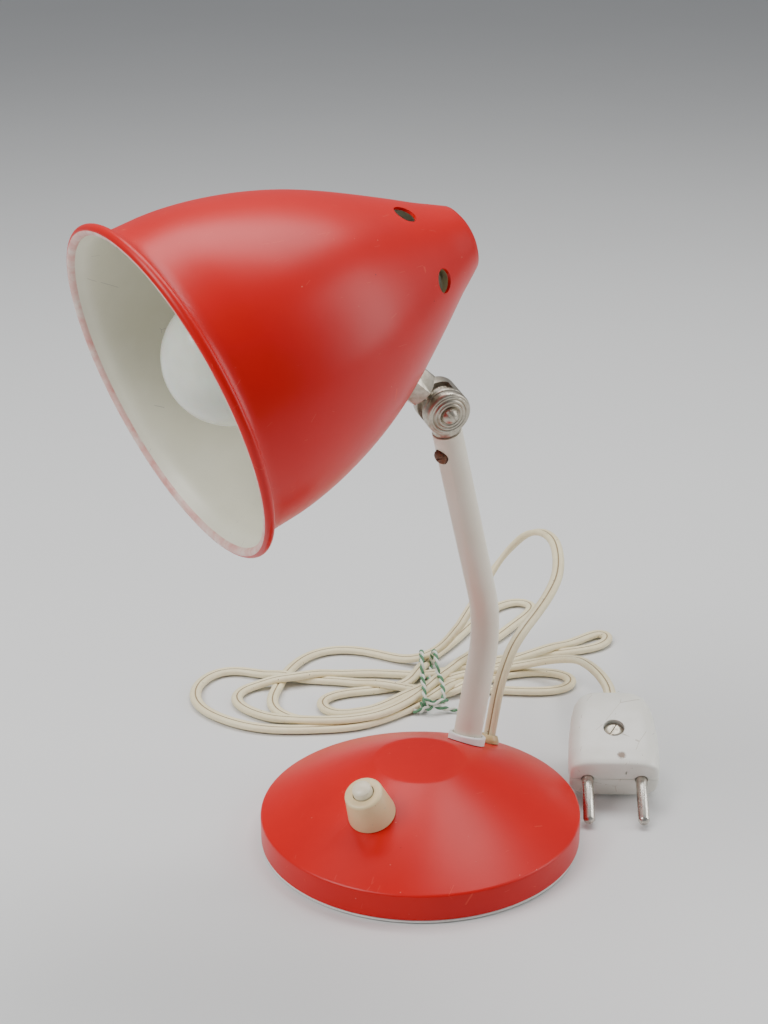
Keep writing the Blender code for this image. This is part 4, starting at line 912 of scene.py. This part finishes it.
def build_tie(flex_line):
    near = flex_line[np.abs(flex_line[:, 0] - TIE_X) < 0.0030]
    near = near[(near[:, 1] > 0.085) & (near[:, 1] < 0.125) & (near[:, 2] < 0.03)]
    corners = []
    for _, y, z in near:
        corners += [(y + dy, max(z + dz, 0.0012)) for dy in (-0.0024, 0.0024) for dz in (-0.0014, 0.0014)]
    ring = np.array(hull([(round(y, 5), round(z, 5)) for y, z in corners]))
    middle = ring.mean(axis=0)
    out = ring - middle
    ring = ring + out / np.linalg.norm(out, axis=1)[:, None] * TWINE_RADIUS * 1.2
    angle = np.arctan2(ring[:, 1] - middle[1], ring[:, 0] - middle[0])
    order = np.argsort(angle)
    angle, ring = angle[order], ring[order]
    reach = np.linalg.norm(ring - middle, axis=1)
    loop = []
    turns, steps = 2, 40
    for i in range(turns * steps + 1):
        a = pi + 2 * pi * i / steps
        wrapped = (a + pi) % (2 * pi) - pi
        r = np.interp(wrapped, np.concatenate([angle - 2 * pi, angle, angle + 2 * pi]), np.tile(reach, 3))
        x = TIE_X - 0.0030 + 0.0085 * i / (turns * steps) + 0.0016 * sin(a * 0.5)
        loop.append((x, middle[0] + r * cos(a), max(middle[1] + r * sin(a), TWINE_RADIUS * 1.2)))
    front_y = min(p[1] for p in loop)
    knot = (TIE_X + 0.0012, front_y - 0.0006, 0.0042)
    end = loop[-1]
    kx, ky, kz = knot
    tail_a = [end, (end[0] + 0.0006, end[1] - 0.0010, 0.0052), (kx, ky - 0.0012, kz),
              (kx + 0.0022, ky - 0.0006, 0.0034), (kx + 0.0052, ky - 0.0004, 0.0022),
              (kx + 0.0082, ky + 0.0004, 0.0013), (kx + 0.0112, ky + 0.0002, 0.0011)]
    tail_b = [(kx - 0.0012, ky + 0.0004, kz + 0.0016), (kx + 0.0004, ky - 0.0014, kz + 0.0012),
              (kx + 0.0018, ky - 0.0004, kz - 0.0004), (kx + 0.0002, ky - 0.0016, kz - 0.0014),
              (kx - 0.0016, ky - 0.0006, kz - 0.0018), (kx - 0.0034, ky - 0.0010, 0.0014),
              (kx - 0.0060, ky - 0.0006, 0.0011)]
    pieces = []
    for name, line in (("tie_loop", loop + tail_a[1:]), ("tie_end", tail_b)):
        for made, finish in twine(name, line):
            pieces.append(piece(made, finish, "base", "cord_tie", slot="green_twine", angle=60))
    return pieces


# ---------------------------------------------------------------- plug

PLUG_SECTIONS = (  # distance back, half width, height above and below the pins
    (0.0, 0.0145, 0.0072, 0.0085), (0.0012, 0.0158, 0.0083, 0.0096), (0.0080, 0.0162, 0.0087, 0.0098),
    (0.0170, 0.0158, 0.0086, 0.0094), (0.0250, 0.0149, 0.0083, 0.0088), (0.0300, 0.0138, 0.0078, 0.0080),
    (0.0332, 0.0122, 0.0071, 0.0072), (0.0348, 0.0104, 0.0062, 0.0062), (0.0356, 0.0080, 0.0048, 0.0048))


def plug_shape(name):
    """The whole plug body: rounded sections along Y, from the pins back to the tail."""
    back, half, above, below = (np.array(column) for column in zip(*PLUG_SECTIONS))
    at = np.concatenate([[0, 0.0002, 0.0006, 0.0012], np.linspace(0.003, 0.0325, 26),
                         [0.0332, 0.0338, 0.0343, 0.0348, 0.0352, 0.0356]])
    count, vertices = 112, []
    for y in at:
        h, up, down = (np.interp(y, back, values) for values in (half, above, below))
        if y < 0.0012:
            curve = 0.0014 * (1 - (1 - (1 - y / 0.0012)**2)**0.5)
            h, up, down = (np.interp(0.0012, back, v) - curve for v in (half, above, below))
        for i in range(count):
            a = 2 * pi * i / count
            x = abs(cos(a))**0.5 * (1 if cos(a) > 0 else -1) * h
            z = abs(sin(a))**0.5 * (up if sin(a) > 0 else -down)
            vertices.append((x, y, z))
    rows = len(at)
    faces = [((r * count + i), r * count + (i + 1) % count, (r + 1) * count + (i + 1) % count,
              (r + 1) * count + i) for r in range(rows - 1) for i in range(count)]
    faces = [f[::-1] for f in faces]
    faces += [tuple(range(count)), tuple((rows - 1) * count + i for i in range(count))[::-1]]
    return face_outward(new_object(name, vertices, faces, PLUG))


def build_plug():
    screw_place = PLUG @ shift((0, 0.0165, 0))
    pieces = []
    for name, node, low, high in (("plug_top_half", "plug_cover", GAP / 2, 0.02),
                                  ("plug_under_half", "plug_base", -0.02, -GAP / 2)):
        half = plug_shape(name)
        combine(half, [block((-0.03, -0.01, low), (0.03, 0.05, high), PLUG)], "INTERSECT")
        cutters = [rod(FLEX_WIDTH / 2 + GAP, 0.0230, 0.050, PLUG @ ALONG_Y),
                   rod(0.0019, -0.020, 0.020, screw_place), rod(0.0038, 0.0060, 0.020, screw_place, 96)]
        cutters.append(block((0.0036, -0.002, 0.0028), (0.0042, 0.0008, 0.0046), PLUG))
        for x in (-PIN_SPACING / 2, PIN_SPACING / 2):
            cutters.append(rod(PIN_RADIUS + GAP, -0.001, 0.0093, PLUG @ shift((x, 0, 0)) @ ALONG_Y))
        combine(half, cutters)
        bevel(half, 0.00035, 3, 48)
        pieces.append(piece(half, PLUG_WHITE, "base", node, slot="off_white_plastic"))
    for side, x in (("left", -PIN_SPACING / 2), ("right", PIN_SPACING / 2)):
        pin = lathe(f"contact_pin_{side}",
                    [(0, 0.0090), (PIN_RADIUS, 0.0090), (PIN_RADIUS, -PIN_LENGTH + 0.0014),
                     (PIN_RADIUS - 0.0004, -PIN_LENGTH + 0.0005), (PIN_RADIUS - 0.0011, -PIN_LENGTH),
                     (0, -PIN_LENGTH)], PLUG @ shift((x, 0, 0)) @ ALONG_Y, 64)
        pieces.append(piece(pin, BRIGHT, "base", f"plug_pin_{side}", slot="nickel_plate"))
    screw = lathe("cover_fixing",
                  [(0, 0.0076), (0.0022, 0.0075), (0.0034, 0.0070), (0.0034, 0.0063), (0.0016, 0.0063),
                   (0.0016, -0.0070), (0, -0.0070)], screw_place, 64, corner=0.0002)
    combine(screw, [block((-0.004, -0.0004, 0.0069), (0.004, 0.0004, 0.012),
                          screw_place @ about("Z", radians(60)))])
    pieces.append(piece(screw, NICKEL, "base", "plug_screw", slot="nickel_plate"))
    return pieces


def build_wisps():
    """A few pale frayed threads where the flex enters the plug."""
    line = [(0, 0, 0.0024), (0.0006, 0.0010, 0.0034), (0.0016, 0.0016, 0.0040)]
    made = []
    for number, (turn, length) in enumerate(((0.9, 1.0), (-0.7, 0.8), (0.2, 1.25), (-1.6, 0.9))):
        base = PLUG @ shift((0, 0.0350, 0)) @ about("Y", turn)
        points = [tuple(base @ (Vector(p) * length)) for p in line]
        wisp = sweep(f"flex_wisp_{number + 1}", even_route(points, 0.0004), circle(0.00013, 6), level=False)
        made.append(piece(wisp, TWINE_WHITE, "base", slot="cream_flex", angle=60))
    return made


# ---------------------------------------------------------------- stage, lights and camera

def build_stage():
    floor = new_object("floor", [(-4, -4, -0.0004), (4, -4, -0.0004), (4, 4, -0.0004), (-4, 4, -0.0004)],
                       [(0, 1, 2, 3)], TABLE)
    look = Look("pale_floor", (0.72, 0.72, 0.71), 0.6)
    floor.data.materials.append(look.mottle(3, (0.69, 0.69, 0.68), 0.5).grain(400, 0.00002).done())
    world = bpy.data.worlds.new("studio")
    world.use_nodes = True
    world.node_tree.nodes["Background"].inputs["Color"].default_value = (0.92, 0.95, 1.0, 1)
    world.node_tree.nodes["Background"].inputs["Strength"].default_value = 0.30
    bpy.context.scene.world = world


def softbox(name, at, aim, size, power, colour=(1, 1, 1)):
    light = bpy.data.lights.new(name, "AREA")
    light.shape, light.size, light.size_y = "RECTANGLE", *size
    light.energy, light.color = power, colour
    obj = bpy.data.objects.new(name, light)
    bpy.context.scene.collection.objects.link(obj)
    place = TABLE @ shift(at)
    toward = (TABLE @ Vector(aim)) - place.translation
    obj.matrix_world = shift(place.translation) @ toward.to_track_quat("-Z", "Y").to_matrix().to_4x4()


def build_camera():
    """A long lens looking down at 21.9 degrees, from in front of the switch's right-hand side."""
    pitch, roll = CAMERA_PITCH, CAMERA_ROLL
    right, up = Vector((1, 0, 0)), Vector((0, sin(pitch), cos(pitch)))
    back = right.cross(up)
    across = right * cos(roll) + up * sin(roll)
    above = up * cos(roll) - right * sin(roll)
    turn = Matrix((across, above, back)).transposed().to_4x4()
    lens = bpy.data.cameras.new("camera")
    lens.lens, lens.sensor_width, lens.sensor_fit = 90, 36, "HORIZONTAL"
    lens.clip_start, lens.clip_end = 0.01, 30
    camera = bpy.data.objects.new("camera", lens)
    bpy.context.scene.collection.objects.link(camera)
    camera.matrix_world = TABLE @ shift(CAMERA_AT) @ turn
    bpy.context.scene.camera = camera


# ---------------------------------------------------------------- the scene

build_camera()
build_stage()
softbox("key", (-0.75, -0.35, 0.95), (0, 0, 0.12), (0.6, 0.6), 10.5)
softbox("top", (0.05, 0.35, 1.10), (0, 0, 0.10), (1.0, 0.5), 10)
softbox("side", (0.95, 0.05, 0.50), (0, 0, 0.10), (0.35, 0.8), 4.5)

build_base()
build_switch()
build_stem()
build_knuckle()
build_neck()
build_shade()
flex, flex_line = build_flex()
tie = build_tie(flex_line)
plug = build_plug()
wisps = build_wisps()

for node in frame["record"]["subparts"]:
    shown = NODES[node["node"]]
    shown.data.materials.clear()
    shown.data.materials.append(SLOT_LOOKS[node["material_slot"]])
